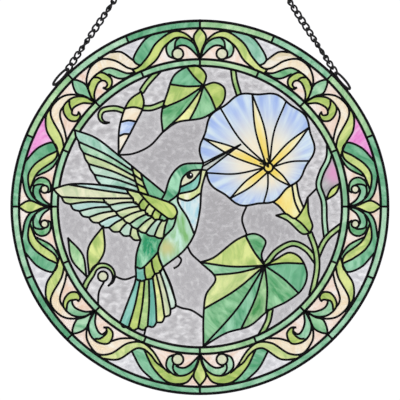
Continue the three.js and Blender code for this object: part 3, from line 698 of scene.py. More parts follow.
def part_panes(triangles, walls):
    """The pane that each triangle is in, where cut edges part the panes, and how many panes there are."""
    beside = {}
    for t, tri in enumerate(triangles):
        for i in range(3):
            beside.setdefault(tuple(sorted((tri[i], tri[i - 1]))), []).append(t)
    pane = [-1] * len(triangles)
    count = 0
    for seed in range(len(triangles)):
        if pane[seed] >= 0:
            continue
        stack = [seed]
        pane[seed] = count
        while stack:
            tri = triangles[stack.pop()]
            for i in range(3):
                key = tuple(sorted((tri[i], tri[i - 1])))
                if key in walls:
                    continue
                for other in beside[key]:
                    if pane[other] < 0:
                        pane[other] = count
                        stack.append(other)
        count += 1
    return pane, count


def twice_area(a, b, c):
    return (b[0] - a[0]) * (c[1] - a[1]) - (b[1] - a[1]) * (c[0] - a[0])


def pane_at(spot):
    """The pane that a spot on the panel lies in."""
    order = np.argsort(((centres - np.array(spot)) ** 2).sum(axis=1))[:NEAREST]
    for t in order:
        a, b, c = (corners[i] for i in triangles[t])
        turns = [twice_area(a, b, spot), twice_area(b, c, spot), twice_area(c, a, spot)]
        if min(turns) >= 0 or max(turns) <= 0:
            return pane_of[t]
    raise ValueError(f"no pane at {spot}")


corners, triangles, walls, on_lines = cut_disc(lead_lines + ring_lines + [rim_line])
pane_of, pane_count = part_panes(triangles, walls)
centres = np.array([np.mean([corners[i] for i in tri], axis=0) for tri in triangles])

# Glass by pane: clear unless it lies in the border, which is peach, or in the inner ring, or is named above.
glass_of = ["clear"] * pane_count
in_ring = [0] * pane_count
pane_size = [pane_of.count(p) for p in range(pane_count)]
for t, pane in enumerate(pane_of):
    reach = math.hypot(*centres[t])
    if RING_INNER + RING_WIDTH / 2 < reach < RING_OUTER - RING_WIDTH:
        glass_of[pane] = "peach"
    elif RING_PICTURE < reach < RING_INNER and glass_of[pane] == "clear":
        in_ring[pane] += 1
    elif reach > PANEL_RADIUS - RIM_WIDTH / 2:
        glass_of[pane] = None
for pane in range(pane_count):
    if in_ring[pane] > pane_size[pane] / 2:
        glass_of[pane] = "green_soft"
for name, spot in pane_glass:
    glass_of[pane_at(spot)] = name


def srgb(code):
    """A hex colour as linear red, green, blue and alpha."""
    values = [int(code[i:i + 2], 16) / 255 for i in (0, 2, 4)]
    return [v / 12.92 if v <= 0.04045 else ((v + 0.055) / 1.055) ** 2.4 for v in values] + [1.0]


def add(tree, kind, inputs=(), **settings):
    """Adds a node, sets its properties and inputs by name, and links or sets its other inputs."""
    node = tree.nodes.new(kind)
    for key, value in settings.items():
        if hasattr(node, key):
            setattr(node, key, value)
        else:
            node.inputs[key.replace("_", " ")].default_value = value
    for socket, source in inputs:
        if isinstance(source, bpy.types.NodeSocket):
            tree.links.new(source, node.inputs[socket])
        else:
            node.inputs[socket].default_value = source
    return node


# Sockets of a Mix node of colours: the two that go in and the one that comes out.
MIX_FROM = 6
MIX_TO = 7
MIX_OUT = 2


def new_material(name):
    material = bpy.data.materials.new(name)
    material.use_nodes = True
    material.node_tree.nodes.clear()
    return material, material.node_tree


def mottled(tree, size, one, two, **look):
    """A colour that wanders between two tones in patches of a size in mm: the pattern and the colour."""
    place = add(tree, "ShaderNodeTexCoord").outputs["Object"]
    noise = add(tree, "ShaderNodeTexNoise", [("Vector", place)], Scale=1 / (size * MM), **look)
    patches = noise.outputs["Fac"]
    mix = add(tree, "ShaderNodeMix", [(0, patches), (MIX_FROM, srgb(one)), (MIX_TO, srgb(two))],
              data_type="RGBA")
    return patches, mix.outputs[MIX_OUT]


def rippled(tree, size, strength, depth):
    """A face that is never quite flat: ripples of a size and a depth in mm."""
    place = add(tree, "ShaderNodeTexCoord").outputs["Object"]
    waves = add(tree, "ShaderNodeTexNoise", [("Vector", place)], Scale=1 / (size * MM), Detail=2.0)
    bump = add(tree, "ShaderNodeBump", [("Height", waves.outputs["Fac"])],
               Strength=strength, Distance=depth * MM)
    return bump.outputs[0]


def finish_surface(tree, inputs, **settings):
    """The shader of a material and its output."""
    shader = add(tree, "ShaderNodeBsdfPrincipled", inputs, **settings)
    add(tree, "ShaderNodeOutputMaterial", [("Surface", shader.outputs[0])])


# Streaky art glass: two tones pulled through each other when the sheet was rolled. Pairs are (pale, deep).
GLASSES = {
    "green_pale": ("C4EAB6", "98CD93"), "green_soft": ("BCE8C5", "90CBA2"),
    "green_inner": ("B3E2BA", "87C597"), "green_ring": ("95D4AD", "61B283"),
    "green_mint": ("A6DDB8", "7AC095"), "green_leaf": ("9BD5A2", "63B075"),
    "green_deep": ("80C79C", "54AA79"), "blade": ("82C79D", "56AA7A"), "teal": ("93D6C6", "66BAA6"),
    "aqua_blade": ("B6E4CE", "8AC6AA"), "stem": ("C2E094", "96C371"), "lime": ("CDDF7B", "A9C75E"),
    "lime_ribbon": ("DDEA92", "B9D275"), "lime_soft": ("E5EFA4", "C1D787"), "lime_pale": ("F3F6A9", "CFDE8C"),
    "lime_cream": ("EFEECF", "DBE1BF"), "lime_frost": ("E2ECB9", "BED49C"), "mint": ("BDE4C2", "91C79F"),
    "mint_pale": ("D1ECD9", "B1D6BF"), "aqua": ("C7EBDA", "9BCEB7"), "aqua_pale": ("CEEEE7", "AED8CD"),
    "cream_frost": ("EEF0CA", "D2DEB4"), "rump": ("A8E4BC", "48AA7A"), "leaf_streak": ("B1DCA2", "6DAF6C"),
    "throat": ("F8F9CC", "CFE184"), "bud_blue": ("DCE9FF", "A9C4EE"), "tube": ("FFF8B4", "FDEC8C"),
    "tube_pale": ("FFFDCC", "F5F2BF"), "cream": ("FFF6E2", "FBE9CA"), "tan": ("FBF1DE", "E9DAB2"),
    "peach": ("FFF2E8", "F9DFCC"), "pink": ("FDBAEA", "F18FD8"), "pink_grey": ("C8C6C8", "ACAAAD"),
    "breast": ("EFF8F4", "B2E0EC"), "bill": ("D0D6D0", "A4AEA6"), "petal": ("DFEFF8", "A6C0F2"),
    "ray": ("FFFCE4", "FEF2B4"), "belly": ("C2E8CE", "96CC92"), "head": ("A2DEB8", "60B084"),
    "mint_frost": ("DEF2E2", "C8E4D0"),
    "clear": ("E4E3E4", "B4B2B4"), "clear_pale": ("E8E7E8", "B4B2B4"), "clear_dark": ("E2E1E2", "ACAAAC"),
    "clear_bright": ("F2F2F4", "C4C4C8"),
}
FLOWER_SHADE = ((257, 150), 58.0)      # circle out to which the flower's glasses are shaded, grid units
# Glasses shaded from one spot to a circle round it: the spot, the circle's centre and radius in grid units,
# the colour at the spot, and the shares of the way where it starts to fade and where it has gone.
FADES = {
    "petal": (THROAT, *FLOWER_SHADE, "FFF3D4", 0.24, 0.88),
    "ray": (THROAT, *FLOWER_SHADE, "FFE02C", 0.16, 0.76),
    "belly": ((167, 248), (167, 248), 15.0, "D4D08C", 0.0, 0.9),
    "tube": ((273, 199), (273, 199), 20.0, "FFDC58", 0.1, 1.0),
    "pink_grey": ((336, 172), (336, 172), 20.0, "E8A4D0", 0.15, 0.85),
}
FADE_WANDER = 0.4           # how far the streaks push a shade's edge, as a share of the way
RADIAL = ("petal", "ray")   # glasses whose streaks run out from the spot
RADIAL_STREAKS = (10.0, 1.6, 1.0)              # streaks in a radian, and along the way out
UPRIGHT = ("breast", "leaf_streak", "rump")    # glasses whose streaks stand upright on the panel
RIPPLED = ("clear_pale", "clear_bright")       # clear glasses with bold waves
WAVE_LEAN = 0.3             # radians by which those waves lean
# How the tones run in a sheet: width and height of a patch in mm, the noise, the part of it that runs from
# the deep tone to the pale one, and how far past these tones it may go.
GRAINS = {
    "waves": (10.0, 6.5, {"Detail": 2.0, "Roughness": 0.45, "Distortion": 0.3}, (0.42, 0.7, 0.0)),
    "flecks": (5.5, 7.5, {"Detail": 3.0, "Roughness": 0.55, "Distortion": 0.5}, (0.5, 0.8, 0.0)),
    "streaks": (15.0, 40.0, {"Detail": 5.0, "Roughness": 0.62, "Distortion": 1.1}, (0.38, 0.62, 0.4)),
    "rays": (None, None, {"Detail": 4.0}, (0.36, 0.64, 0.0)),
}
# How far from a lead the glass is painted paler as a highlight in mm, by how much, its roughness and its
# transmission.
CLEAR_FINISH = (9.0, 0.45, 0.12, 0.9)
TINTED_FINISH = (5.0, 0.25, 0.3, 0.7)
GLASS_IOR = 1.5
SHEET_RIPPLE = (9.0, 0.25, 0.4)     # ripples of the sheet's face: size in mm, strength, depth in mm
SHEET_TURN = 2.4            # radians by which each pane is cut at another angle from the sheet
SHEET_SHIFT = 37.0          # mm from one pane's place on the sheet to the next


def grain_of(name):
    """How the tones run in a glass."""
    if name in RIPPLED:
        return "waves"
    if name in RADIAL:
        return "rays"
    return "flecks" if name.startswith("clear") else "streaks"


def sheet_pattern(tree, name, place, share):
    """The pattern of tones in a glass, on the panel, on its sheet or round a spot."""
    kind = grain_of(name)
    wide, high, look, _ = GRAINS[kind]
    turned = (0, WAVE_LEAN if kind == "waves" else 0, 0)
    if kind == "rays":
        x, z = on_panel([FADES[name][0]])[0]
        arm = add(tree, "ShaderNodeVectorMath", [(0, place), (1, in_frame(x, 0, z))], operation="SUBTRACT")
        parts = add(tree, "ShaderNodeSeparateXYZ", [(0, arm.outputs[0])]).outputs
        turn = add(tree, "ShaderNodeMath", [(0, parts["X"]), (1, parts["Z"])], operation="ARCTAN2")
        source = add(tree, "ShaderNodeCombineXYZ", [("X", turn.outputs[0]), ("Y", share)]).outputs[0]
        scale = RADIAL_STREAKS
    else:
        source = place
        if kind != "waves" and name not in UPRIGHT:
            source = add(tree, "ShaderNodeAttribute", attribute_name="sheet").outputs["Vector"]
        scale = (1 / (wide * MM), 1 / (wide * MM), 1 / (high * MM))
    mapped = add(tree, "ShaderNodeMapping", [("Vector", source)], Rotation=turned, Scale=scale)
    noise = add(tree, "ShaderNodeTexNoise", [("Vector", mapped.outputs[0])], Scale=1.0, **look)
    return noise.outputs["Fac"]


def glass_material(name, pale, deep):
    """Rolled art glass: colour in the sheet, a painted highlight that makes it paler near its leads, a
    fire-polished face that is never quite flat.
    """
    material, tree = new_material("art_glass_" + name)
    place = add(tree, "ShaderNodeTexCoord").outputs["Object"]
    share = None
    if name in FADES:
        share = add(tree, "ShaderNodeAttribute", attribute_name="share").outputs["Fac"]
    pattern = sheet_pattern(tree, name, place, share)
    low, high, spread = GRAINS[grain_of(name)][3]
    tone = add(tree, "ShaderNodeMapRange", [("Value", pattern)],
               From_Min=low, From_Max=high, To_Min=-spread, To_Max=1 + spread)
    mix = add(tree, "ShaderNodeMix", [(0, tone.outputs[0]), (MIX_FROM, srgb(deep)), (MIX_TO, srgb(pale))],
              data_type="RGBA", clamp_factor=False, clamp_result=True)
    colour = mix.outputs[MIX_OUT]
    if name in FADES:
        core, start, stop = FADES[name][3:]
        wander = add(tree, "ShaderNodeMath", [(0, pattern), (1, FADE_WANDER), (2, share)],
                     operation="MULTIPLY_ADD")
        fade = add(tree, "ShaderNodeMapRange", [("Value", wander.outputs[0])],
                   interpolation_type="SMOOTHSTEP", From_Min=start + FADE_WANDER / 2,
                   From_Max=stop + FADE_WANDER / 2)
        blend = add(tree, "ShaderNodeMix", [(0, fade.outputs[0]), (MIX_FROM, srgb(core)), (MIX_TO, colour)],
                    data_type="RGBA")
        colour = blend.outputs[MIX_OUT]
    reach, paler, roughness, transmission = CLEAR_FINISH if name.startswith("clear") else TINTED_FINISH
    # Painted highlight: the colour is mixed towards the pale tone near the leads.
    inset = add(tree, "ShaderNodeAttribute", attribute_name="inset").outputs["Fac"]
    near_lead = add(tree, "ShaderNodeMapRange", [("Value", inset)], From_Max=reach, To_Min=paler, To_Max=0.0)
    highlight_near_lead = add(tree, "ShaderNodeMix", [(0, near_lead.outputs[0]), (MIX_FROM, colour), (MIX_TO, srgb(pale))],
               data_type="RGBA")
    finish_surface(tree, [("Base Color", highlight_near_lead.outputs[MIX_OUT]), ("Normal", rippled(tree, *SHEET_RIPPLE))],
                   IOR=GLASS_IOR, Roughness=roughness, Transmission_Weight=transmission)
    return material


PATINA_PATCH = 14.0         # mm, patches of the patina
SOLDER_RIPPLE = (3.0, 0.2, 0.3)     # ripples left by the iron: size in mm, strength, depth in mm
WIRE_PATCH = 5.0            # mm, worn patches of the wire
ENAMEL_CLOUD = 1.0          # mm


def lead_material():
    """Soldered lead under black patina: near black, satin, a little uneven where the iron passed."""
    material, tree = new_material("black_patina_lead")
    patches, colour = mottled(tree, PATINA_PATCH, "040405", "111013", Detail=4.0)
    rough = add(tree, "ShaderNodeMapRange", [("Value", patches)], To_Min=0.42, To_Max=0.62)
    finish_surface(tree, [("Base Color", colour), ("Roughness", rough.outputs[0]),
                          ("Normal", rippled(tree, *SOLDER_RIPPLE))], Specular_IOR_Level=0.06)
    return material


def wire_material():
    """Blackened steel wire: dark, satin, worn lighter in patches."""
    material, tree = new_material("blackened_steel_wire")
    patches, colour = mottled(tree, WIRE_PATCH, "060607", "1C1C1E", Detail=4.0)
    rough = add(tree, "ShaderNodeMapRange", [("Value", patches)], To_Min=0.35, To_Max=0.55)
    finish_surface(tree, [("Base Color", colour), ("Roughness", rough.outputs[0])], Specular_IOR_Level=0.2)
    return material


def enamel_material(name, pale, deep):
    """Glass enamel, or a painted glint: an even, glossy dot of one colour."""
    material, tree = new_material(name)
    _, colour = mottled(tree, ENAMEL_CLOUD, pale, deep)
    finish_surface(tree, [("Base Color", colour)], Roughness=0.2, IOR=GLASS_IOR, Specular_IOR_Level=0.1)
    return material


def show(name, data):
    piece = bpy.data.objects.new(name, data)
    bpy.context.collection.objects.link(piece)
    return piece


def in_frame(x, y, z):
    """Millimetres on the panel as metres in the row frame."""
    return ((x + PANEL_SIDE) * MM, y * MM, (z - PANEL_DROP) * MM)


def way_out(vertex, spot, centre, radius):
    """How far a point lies from the spot, as a share of the way to the circle in that direction."""
    here = np.array((vertex[0] / MM - PANEL_SIDE, vertex[2] / MM + PANEL_DROP))
    start, hub = (np.array(p) for p in on_panel([spot, centre]))
    arm = here - start
    length = max(np.linalg.norm(arm), TINY)
    offset = start - hub
    lean = (arm / length) @ offset
    far = -lean + math.sqrt(lean ** 2 + (radius * UNIT) ** 2 - offset @ offset)
    return length / far


def glass_piece(name):
    """Every pane cut from one glass, as flat plates with an edge-distance attribute."""
    vertices = []
    insets = []
    sheet = []
    faces = []
    index = {}
    sides = {}

    def vertex(corner, pane, y):
        key = (corner, pane, y)
        if key not in index:
            x, z = corners[corner]
            index[key] = len(vertices)
            vertices.append(in_frame(x, y, z))
            insets.append(on_lines.find((x, 0, z))[2])
            turn = SHEET_TURN * pane
            across = x * math.cos(turn) - z * math.sin(turn) + SHEET_SHIFT * pane
            sheet.extend((across * MM, y * MM, (x * math.sin(turn) + z * math.cos(turn)) * MM))
        return index[key]

    half = GLASS_THICK / 2
    for t, tri in enumerate(triangles):
        pane = pane_of[t]
        if glass_of[pane] != name:
            continue
        a, b, c = tri if twice_area(*(corners[i] for i in tri)) > 0 else (tri[0], tri[2], tri[1])
        faces.append([vertex(i, pane, -half) for i in (a, b, c)])
        faces.append([vertex(i, pane, half) for i in (c, b, a)])
        for p, q in ((a, b), (b, c), (c, a)):
            if (q, p, pane) in sides:
                del sides[(q, p, pane)]
            else:
                sides[(p, q, pane)] = True
    for p, q, pane in sides:
        faces.append([vertex(i, pane, y) for i, y in ((q, -half), (p, -half), (p, half), (q, half))])
    mesh = bpy.data.meshes.new("glass_" + name)
    mesh.from_pydata(vertices, [], faces)
    mesh.attributes.new("inset", "FLOAT", "POINT").data.foreach_set("value", insets)
    mesh.attributes.new("sheet", "FLOAT_VECTOR", "POINT").data.foreach_set("vector", sheet)
    if name in FADES:
        shares = [way_out(v, *FADES[name][:3]) for v in vertices]
        mesh.attributes.new("share", "FLOAT", "POINT").data.foreach_set("value", shares)
    mesh.materials.append(glass_material(name, *GLASSES[name]))
    return show("art_glass_" + name, mesh)


def tree_with(name, sizes):
    """A Geometry Nodes tree with one geometry in and out, a material and the given size inputs."""
    tree = bpy.data.node_groups.new(name, "GeometryNodeTree")
    tree.interface.new_socket("Geometry", in_out="INPUT", socket_type="NodeSocketGeometry")
    tree.interface.new_socket("Geometry", in_out="OUTPUT", socket_type="NodeSocketGeometry")
    tree.interface.new_socket("Material", in_out="INPUT", socket_type="NodeSocketMaterial")
    for size in sizes:
        tree.interface.new_socket(size, in_out="INPUT", socket_type="NodeSocketFloat")
    return tree, add(tree, "NodeGroupInput"), add(tree, "NodeGroupOutput")


def end_tree(tree, given, result, shape):
    """Ends a tree: a plain mesh with smooth shading and the material."""
    plain = add(tree, "GeometryNodeRealizeInstances", [("Geometry", shape)])
    soft = add(tree, "GeometryNodeSetShadeSmooth", [("Geometry", plain.outputs[0])])
    painted = add(tree, "GeometryNodeSetMaterial", [
        ("Geometry", soft.outputs[0]), ("Material", given.outputs["Material"])])
    tree.links.new(painted.outputs[0], result.inputs[0])


BEAD_ROUNDING = 0.3         # corner of a lead strip, as a share of its width
LINK_POINTS = 20            # points round a link
WIRE_SIDES = 8              # flats round the wire of a link


def bead_tree():
    """Sweeps a round-cornered strip of lead along every line."""
    tree, given, result = tree_with("solder_bead", ["Width", "Depth"])
    lines = add(tree, "GeometryNodeMeshToCurve", [("Mesh", given.outputs["Geometry"])])
    facing = add(tree, "GeometryNodeSetCurveNormal", [("Curve", lines.outputs[0])],
                 mode="FREE", Normal=(0, 1, 0))
    block = add(tree, "GeometryNodeCurvePrimitiveQuadrilateral", [
        ("Width", given.outputs["Depth"]), ("Height", given.outputs["Width"])])
    bevel = add(tree, "ShaderNodeMath", [(0, given.outputs["Width"]), (1, BEAD_ROUNDING)],
                operation="MULTIPLY")
    shaped = add(tree, "GeometryNodeFilletCurve", [("Curve", block.outputs[0]), ("Radius", bevel.outputs[0])],
                 mode="POLY", Count=1)
    swept = add(tree, "GeometryNodeCurveToMesh", [
        ("Curve", facing.outputs[0]), ("Profile Curve", shaped.outputs[0])], Fill_Caps=True)
    end_tree(tree, given, result, swept.outputs[0])
    return tree


def chain_tree():
    """Sets one twisted wire link on every point of a run, turned along it."""
    tree, given, result = tree_with("curb_chain", ["Length", "Width", "Wire", "Twist"])
    size = given.outputs
    ring = add(tree, "GeometryNodeCurvePrimitiveCircle", Resolution=LINK_POINTS, Radius=1.0)
    here = add(tree, "GeometryNodeInputPosition")
    spot = add(tree, "ShaderNodeSeparateXYZ", [("Vector", here.outputs[0])]).outputs
    across = add(tree, "ShaderNodeMath", [(0, spot["X"]), (1, spot["Y"])], operation="MULTIPLY")
    lift = add(tree, "ShaderNodeMath", [(0, across.outputs[0]), (1, size["Twist"])], operation="MULTIPLY")
    long = add(tree, "ShaderNodeMath", [(0, spot["X"]), (1, size["Length"])], operation="MULTIPLY")
    wide = add(tree, "ShaderNodeMath", [(0, spot["Y"]), (1, size["Width"])], operation="MULTIPLY")
    place = add(tree, "ShaderNodeCombineXYZ", [
        ("X", wide.outputs[0]), ("Y", lift.outputs[0]), ("Z", long.outputs[0])])
    oval = add(tree, "GeometryNodeSetPosition", [
        ("Geometry", ring.outputs[0]), ("Position", place.outputs[0])])
    gauge = add(tree, "GeometryNodeCurvePrimitiveCircle", [("Radius", size["Wire"])], Resolution=WIRE_SIDES)
    link = add(tree, "GeometryNodeCurveToMesh", [
        ("Curve", oval.outputs[0]), ("Profile Curve", gauge.outputs[0])])
    turn = add(tree, "GeometryNodeInputNamedAttribute", data_type="FLOAT_VECTOR", Name="turn")
    placed = add(tree, "GeometryNodeInstanceOnPoints", [
        ("Points", size["Geometry"]), ("Instance", link.outputs[0]), ("Rotation", turn.outputs[0])])
    end_tree(tree, given, result, placed.outputs[0])
    return tree


def grown(name, mesh, tree, values):
    """Runs a tree on a mesh and keeps the result as a plain mesh."""
    source = show(name, mesh)
    modifier = source.modifiers.new("grow", "NODES")
    modifier.node_group = tree
    for item in tree.interface.items_tree:
        if item.in_out == "INPUT" and item.name in values:
            modifier[item.identifier] = values[item.name]
    seen = source.evaluated_get(bpy.context.evaluated_depsgraph_get())
    plain = bpy.data.meshes.new_from_object(seen)
    bpy.data.objects.remove(source)
    plain.name = name
    return show(name, plain)


SHARP = 0.7                 # cosine of the turn past which a bead would be pinched


def turns_sharply(a, b, c):
    one = (b[0] - a[0], b[1] - a[1])
    two = (c[0] - b[0], c[1] - b[1])
    return one[0] * two[0] + one[1] * two[1] < SHARP * math.hypot(*one) * math.hypot(*two)


def unpinched(lines):
    """Lines ready to be swept: an end that turns sharply is swept on its own, so that no bead is pinched."""
    result = []
    for line in lines:
        closed = math.dist(line[0], line[-1]) < TINY
        if not closed and len(line) > 2 and turns_sharply(line[2], line[1], line[0]):
            result.append(line[:2])
            line = line[1:]
        if not closed and len(line) > 2 and turns_sharply(line[-3], line[-2], line[-1]):
            result.append(line[-2:])
            line = line[:-1]
        result.append(line)
    return result


def line_mesh(name, lines):
    """Polylines as loose edges, closed where a line ends on its start."""
    vertices = []
    edges = []
    for line in unpinched(lines):
        closed = math.dist(line[0], line[-1]) < TINY
        points = line[:-1] if closed else line
        first = len(vertices)
        vertices.extend(in_frame(x, 0, z) for x, z in points)
        edges.extend((first + i, first + i + 1) for i in range(len(points) - 1))
        if closed:
            edges.append((first + len(points) - 1, first))
    mesh = bpy.data.meshes.new(name)
    mesh.from_pydata(vertices, edges, [])
    return mesh


BEAD_SIDES = 16             # flats round an enamel bead
BEAD_TOP = 0.7              # radius of its top, as a share of its own


def bead(name, spot, radius, front, depth, material):
    """A small round bead on the front of the panel: a disc with a lower rim."""
    x, z = on_panel([spot])[0]
    n = BEAD_SIDES
    turns = [2 * math.pi * i / n for i in range(n)]
    vertices = []
    for reach, y in ((radius, front + depth), (radius, front + depth / 3), (radius * BEAD_TOP, front)):
        vertices.extend(in_frame(x + reach * math.cos(t), y, z + reach * math.sin(t)) for t in turns)
    faces = [list(range(n)), list(range(3 * n - 1, 2 * n - 1, -1))]
    for row in (0, n):
        faces.extend([row + i, row + n + i, row + n + (i + 1) % n, row + (i + 1) % n] for i in range(n))
    mesh = bpy.data.meshes.new(name)
    mesh.from_pydata(vertices, [], [face[::-1] for face in faces])
    mesh.materials.append(material)
    return show(name, mesh)


patina = lead_material()
wire = wire_material()
beads = bead_tree()
chains = chain_tree()


def strip(width, depth):
    """Sizes of a strip of lead for the sweep."""
    return {"Width": width * MM, "Depth": depth * MM, "Material": patina}


wide_lines = [line for i, line in enumerate(lead_lines) if i >= ring_arcs and i not in narrow]
fine_lines = [lead_lines[i] for i in sorted(narrow)]
leadwork = grown("leadwork_beads", line_mesh("leads", wide_lines), beads, strip(LEAD_WIDTH, LEAD_DEPTH))
fine_leadwork = grown("fine_beads", line_mesh("fine", fine_lines), beads, strip(FINE_WIDTH, LEAD_DEPTH))
rings = grown("ring_beads", line_mesh("rings", ring_lines + lead_lines[:ring_arcs]), beads,
              strip(RING_WIDTH, LEAD_DEPTH))
stamens = grown("stamen_wire", line_mesh("stamens", stamen_lines), beads, strip(STAMEN_WIDTH, STAMEN_DEPTH))
rim = grown("rim_came", line_mesh("rim", [rim_line]), beads, strip(RIM_WIDTH, RIM_DEPTH))

# Loops, chains and the hanging ring. Sizes are in mm.
LINK_LENGTH = 14.8
LINK_WIDTH = 10.4
LINK_WIRE = 2.8
LINK_PITCH = 9.0
LINK_TWIST = 3.0
LOOP_LENGTH = 33.0
LOOP_WIDTH = 9.5
LOOP_WIRE = 3.4
LOOP_SINK = 2.0             # mm the loop is let into the solder of the rim
HANG_RING_RADIUS = 11.0
HANG_RING_WIRE = 3.0
LOOP_ANGLES = {"left": math.radians(137), "right": math.radians(41.4)}
CHAIN_SPREAD = math.radians(34)
EDGE_ON = {"left": 41.0, "right": 35.0}      # mm from the loop to a link seen edge-on
HALF_TURN = {"left": 60.0, "right": 90.0}    # mm of chain in half a turn of its slow twist


def links_mesh(name, spots):
    """Points with a turn for each link: (x, z in mm from the hook point, tilt in the panel's plane, roll)."""
    mesh = bpy.data.meshes.new(name)
    mesh.from_pydata([(x * MM, 0, z * MM) for x, z, _, _ in spots], [], [])
    turns = mesh.attributes.new("turn", "FLOAT_VECTOR", "POINT")
    for i, (_, _, tilt, roll) in enumerate(spots):
        turned = Matrix.Rotation(tilt, 3, "Y") @ Matrix.Rotation(roll, 3, "Z")
        turns.data[i].vector = turned.to_euler()
    return mesh


def wire_size(length, width, gauge, twist):
    return {"Length": (length - gauge) / 2 * MM, "Width": (width - gauge) / 2 * MM, "Wire": gauge / 2 * MM,
            "Twist": twist * MM, "Material": wire}


ring_foot = HANG_RING_WIRE / 2 - HANG_RING_RADIUS
ring_across = 2 * HANG_RING_RADIUS + HANG_RING_WIRE
hanging_ring = grown("hanging_ring_wire", links_mesh("ring", [(0, ring_foot, 0, 0)]), chains,
                     wire_size(ring_across, ring_across, HANG_RING_WIRE, 0))
wires = {"hanging_ring": hanging_ring}
for side, angle in LOOP_ANGLES.items():
    out = -1 if side == "left" else 1
    reach = PANEL_RADIUS + LOOP_WIDTH / 2 - LOOP_SINK
    centre = (reach * math.cos(angle) + PANEL_SIDE, reach * math.sin(angle) - PANEL_DROP)
    tilt = -angle
    loop = grown("loop_wire_" + side, links_mesh("loop", [(*centre, tilt, 0)]), chains,
                 wire_size(LOOP_LENGTH, LOOP_WIDTH, LOOP_WIRE, 0))
    wires["loop_" + side] = loop
    tangent = (-math.sin(angle) * out, math.cos(angle) * out)
    end = [centre[i] + tangent[i] * (LOOP_LENGTH - LOOP_WIRE) / 2 for i in range(2)]
    start = (out * HANG_RING_RADIUS * math.sin(CHAIN_SPREAD),
             ring_foot - HANG_RING_RADIUS * math.cos(CHAIN_SPREAD))
    run = math.dist(start, end)
    way = ((end[0] - start[0]) / run, (end[1] - start[1]) / run)
    inner = LINK_LENGTH / 2 - LINK_WIRE
    first = inner - HANG_RING_WIRE / 2
    last = run - (inner - LOOP_WIRE / 2)
    count = round((last - first) / LINK_PITCH)
    tilt = math.atan2(way[0], way[1])
    spots = []
    for i in range(count + 1):
        along = first + (last - first) * i / count
        roll = math.pi / 2 + math.pi * (run - along - EDGE_ON[side]) / HALF_TURN[side]
        spots.append((start[0] + way[0] * along, start[1] + way[1] * along, tilt, roll))
    wires["chain_" + side] = grown("chain_links_" + side, links_mesh("chain", spots), chains,
                                   wire_size(LINK_LENGTH, LINK_WIDTH, LINK_WIRE, LINK_TWIST))

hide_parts("leadwork")
for piece in (leadwork, fine_leadwork, rings, stamens):
    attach(piece, "root")
EYE_RAISE = 0.4             # mm that the eye stands before the leads
GLINT_RAISE = 0.7
BEAD_DEPTH = 0.8
eye = bead("eye_bead", *EYE, -LEAD_DEPTH / 2 - EYE_RAISE, BEAD_DEPTH,
           enamel_material("black_enamel", "0A0A0C", "050506"))
# The glint is a painted highlight: a white bead on the black eye.
glint = bead("eye_glint", *EYE_GLINT, -LEAD_DEPTH / 2 - GLINT_RAISE, BEAD_DEPTH,
             enamel_material("painted_glint_white", "FFFFFF", "F4F4F6"))
for piece in (eye, glint):
    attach(piece, "root")
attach(rim, "root")
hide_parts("rim")
for node, piece in wires.items():
    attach(piece, "root")
    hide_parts(node)

# Glass by its slot in the CAD model. Any other is lime by its name, or green.
SLOT_GLASSES = {
    "glass_clear": ("clear", "clear_pale", "clear_dark", "clear_bright", "bill", "pink_grey"),
    "glass_peach": ("peach", "cream", "tan", "pink"),
    "glass_blue": ("petal", "bud_blue", "breast"),
    "glass_yellow": ("ray", "tube", "tube_pale", "belly"),
    "glass_mint": ("mint", "mint_pale", "aqua", "aqua_pale", "teal"),
}
SLOT_OF = {name: slot for slot, names in SLOT_GLASSES.items() for name in names}
GLASS_NODES = [node for node in frame["nodes"] if node.startswith("glass_")]
slots = {entry["node"]: entry["material_slot"] for entry in frame["record"]["subparts"]}
stood_for = set()
for name in sorted({name for name in glass_of if name}):
    piece = glass_piece(name)
    slot = SLOT_OF.get(name, "glass_lime" if name.startswith("lime") else "glass_green")
    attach(piece, "root")
    if slot not in stood_for:
        stood_for.add(slot)
        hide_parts(*[n for n in GLASS_NODES if slots[n] == slot])

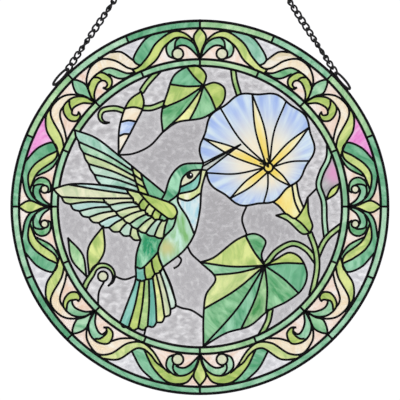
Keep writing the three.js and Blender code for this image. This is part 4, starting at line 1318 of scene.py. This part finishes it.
# Studio: white all round, a pale floor below the hanging panel, one soft light for the solder's gleam.
STUDIO_STRENGTH = 1.06
FLOOR_DROP = 1.25           # m below the hook point
FLOOR_REACH = 1.5           # m from the middle to a side
FLOOR_PATCH = 1000 / 3      # mm
LAMP_PLACE = (-0.9, -1.4, 0.5)      # m from the hook point
LAMP_SIZE = 0.8             # m
LAMP_POWER = 6.0            # W
scene = bpy.context.scene
scene.view_settings.view_transform = "Standard"
world = bpy.data.worlds.new("white_studio")
scene.world = world
world.use_nodes = True
world.node_tree.nodes["Background"].inputs["Color"].default_value = srgb("FDFDFF")
world.node_tree.nodes["Background"].inputs["Strength"].default_value = STUDIO_STRENGTH

floor_mesh = bpy.data.meshes.new("floor")
floor_signs = ((-1, -1), (1, -1), (1, 1), (-1, 1))
floor_corners = [(x * FLOOR_REACH, y * FLOOR_REACH, -FLOOR_DROP) for x, y in floor_signs]
floor_mesh.from_pydata(floor_corners, [], [(0, 1, 2, 3)])
floor_material, floor_tree = new_material("pale_floor")
_, floor_colour = mottled(floor_tree, FLOOR_PATCH, "F1F1F3", "F7F7F8")
finish_surface(floor_tree, [("Base Color", floor_colour)], Roughness=0.8)
floor_mesh.materials.append(floor_material)
floor = show("floor", floor_mesh)

lamp_data = bpy.data.lights.new("soft_light", "AREA")
lamp_data.size = LAMP_SIZE
lamp_data.energy = LAMP_POWER
lamp = show("soft_light", lamp_data)
lamp.location = LAMP_PLACE
lamp.rotation_euler = (Vector((0, 0, -PANEL_DROP * MM)) - lamp.location).to_track_quat("-Z", "Y").to_euler()
lamp.visible_camera = False

# Camera: straight on, with a long lens.
VIEW_WIDTH = 400            # grid units across the frame
VIEW_SIDE = 0.1             # grid units the view's centre lies to the right of the panel's centre
VIEW_RAISE = 6.6            # grid units the view's centre lies above the panel's centre
VIEW_DISTANCE = 5.0         # m
VIEW_END = 50.0             # m
SENSOR_WIDTH = 36.0         # mm
camera_data = bpy.data.cameras.new("camera")
camera = show("camera", camera_data)
camera.location = ((VIEW_SIDE * UNIT + PANEL_SIDE) * MM, -VIEW_DISTANCE,
                   (VIEW_RAISE * UNIT - PANEL_DROP) * MM)
camera.rotation_euler = (math.pi / 2, 0, 0)
camera_data.sensor_width = SENSOR_WIDTH
camera_data.lens = SENSOR_WIDTH * VIEW_DISTANCE / (VIEW_WIDTH * UNIT * MM)
camera_data.clip_end = VIEW_END
scene.camera = camera
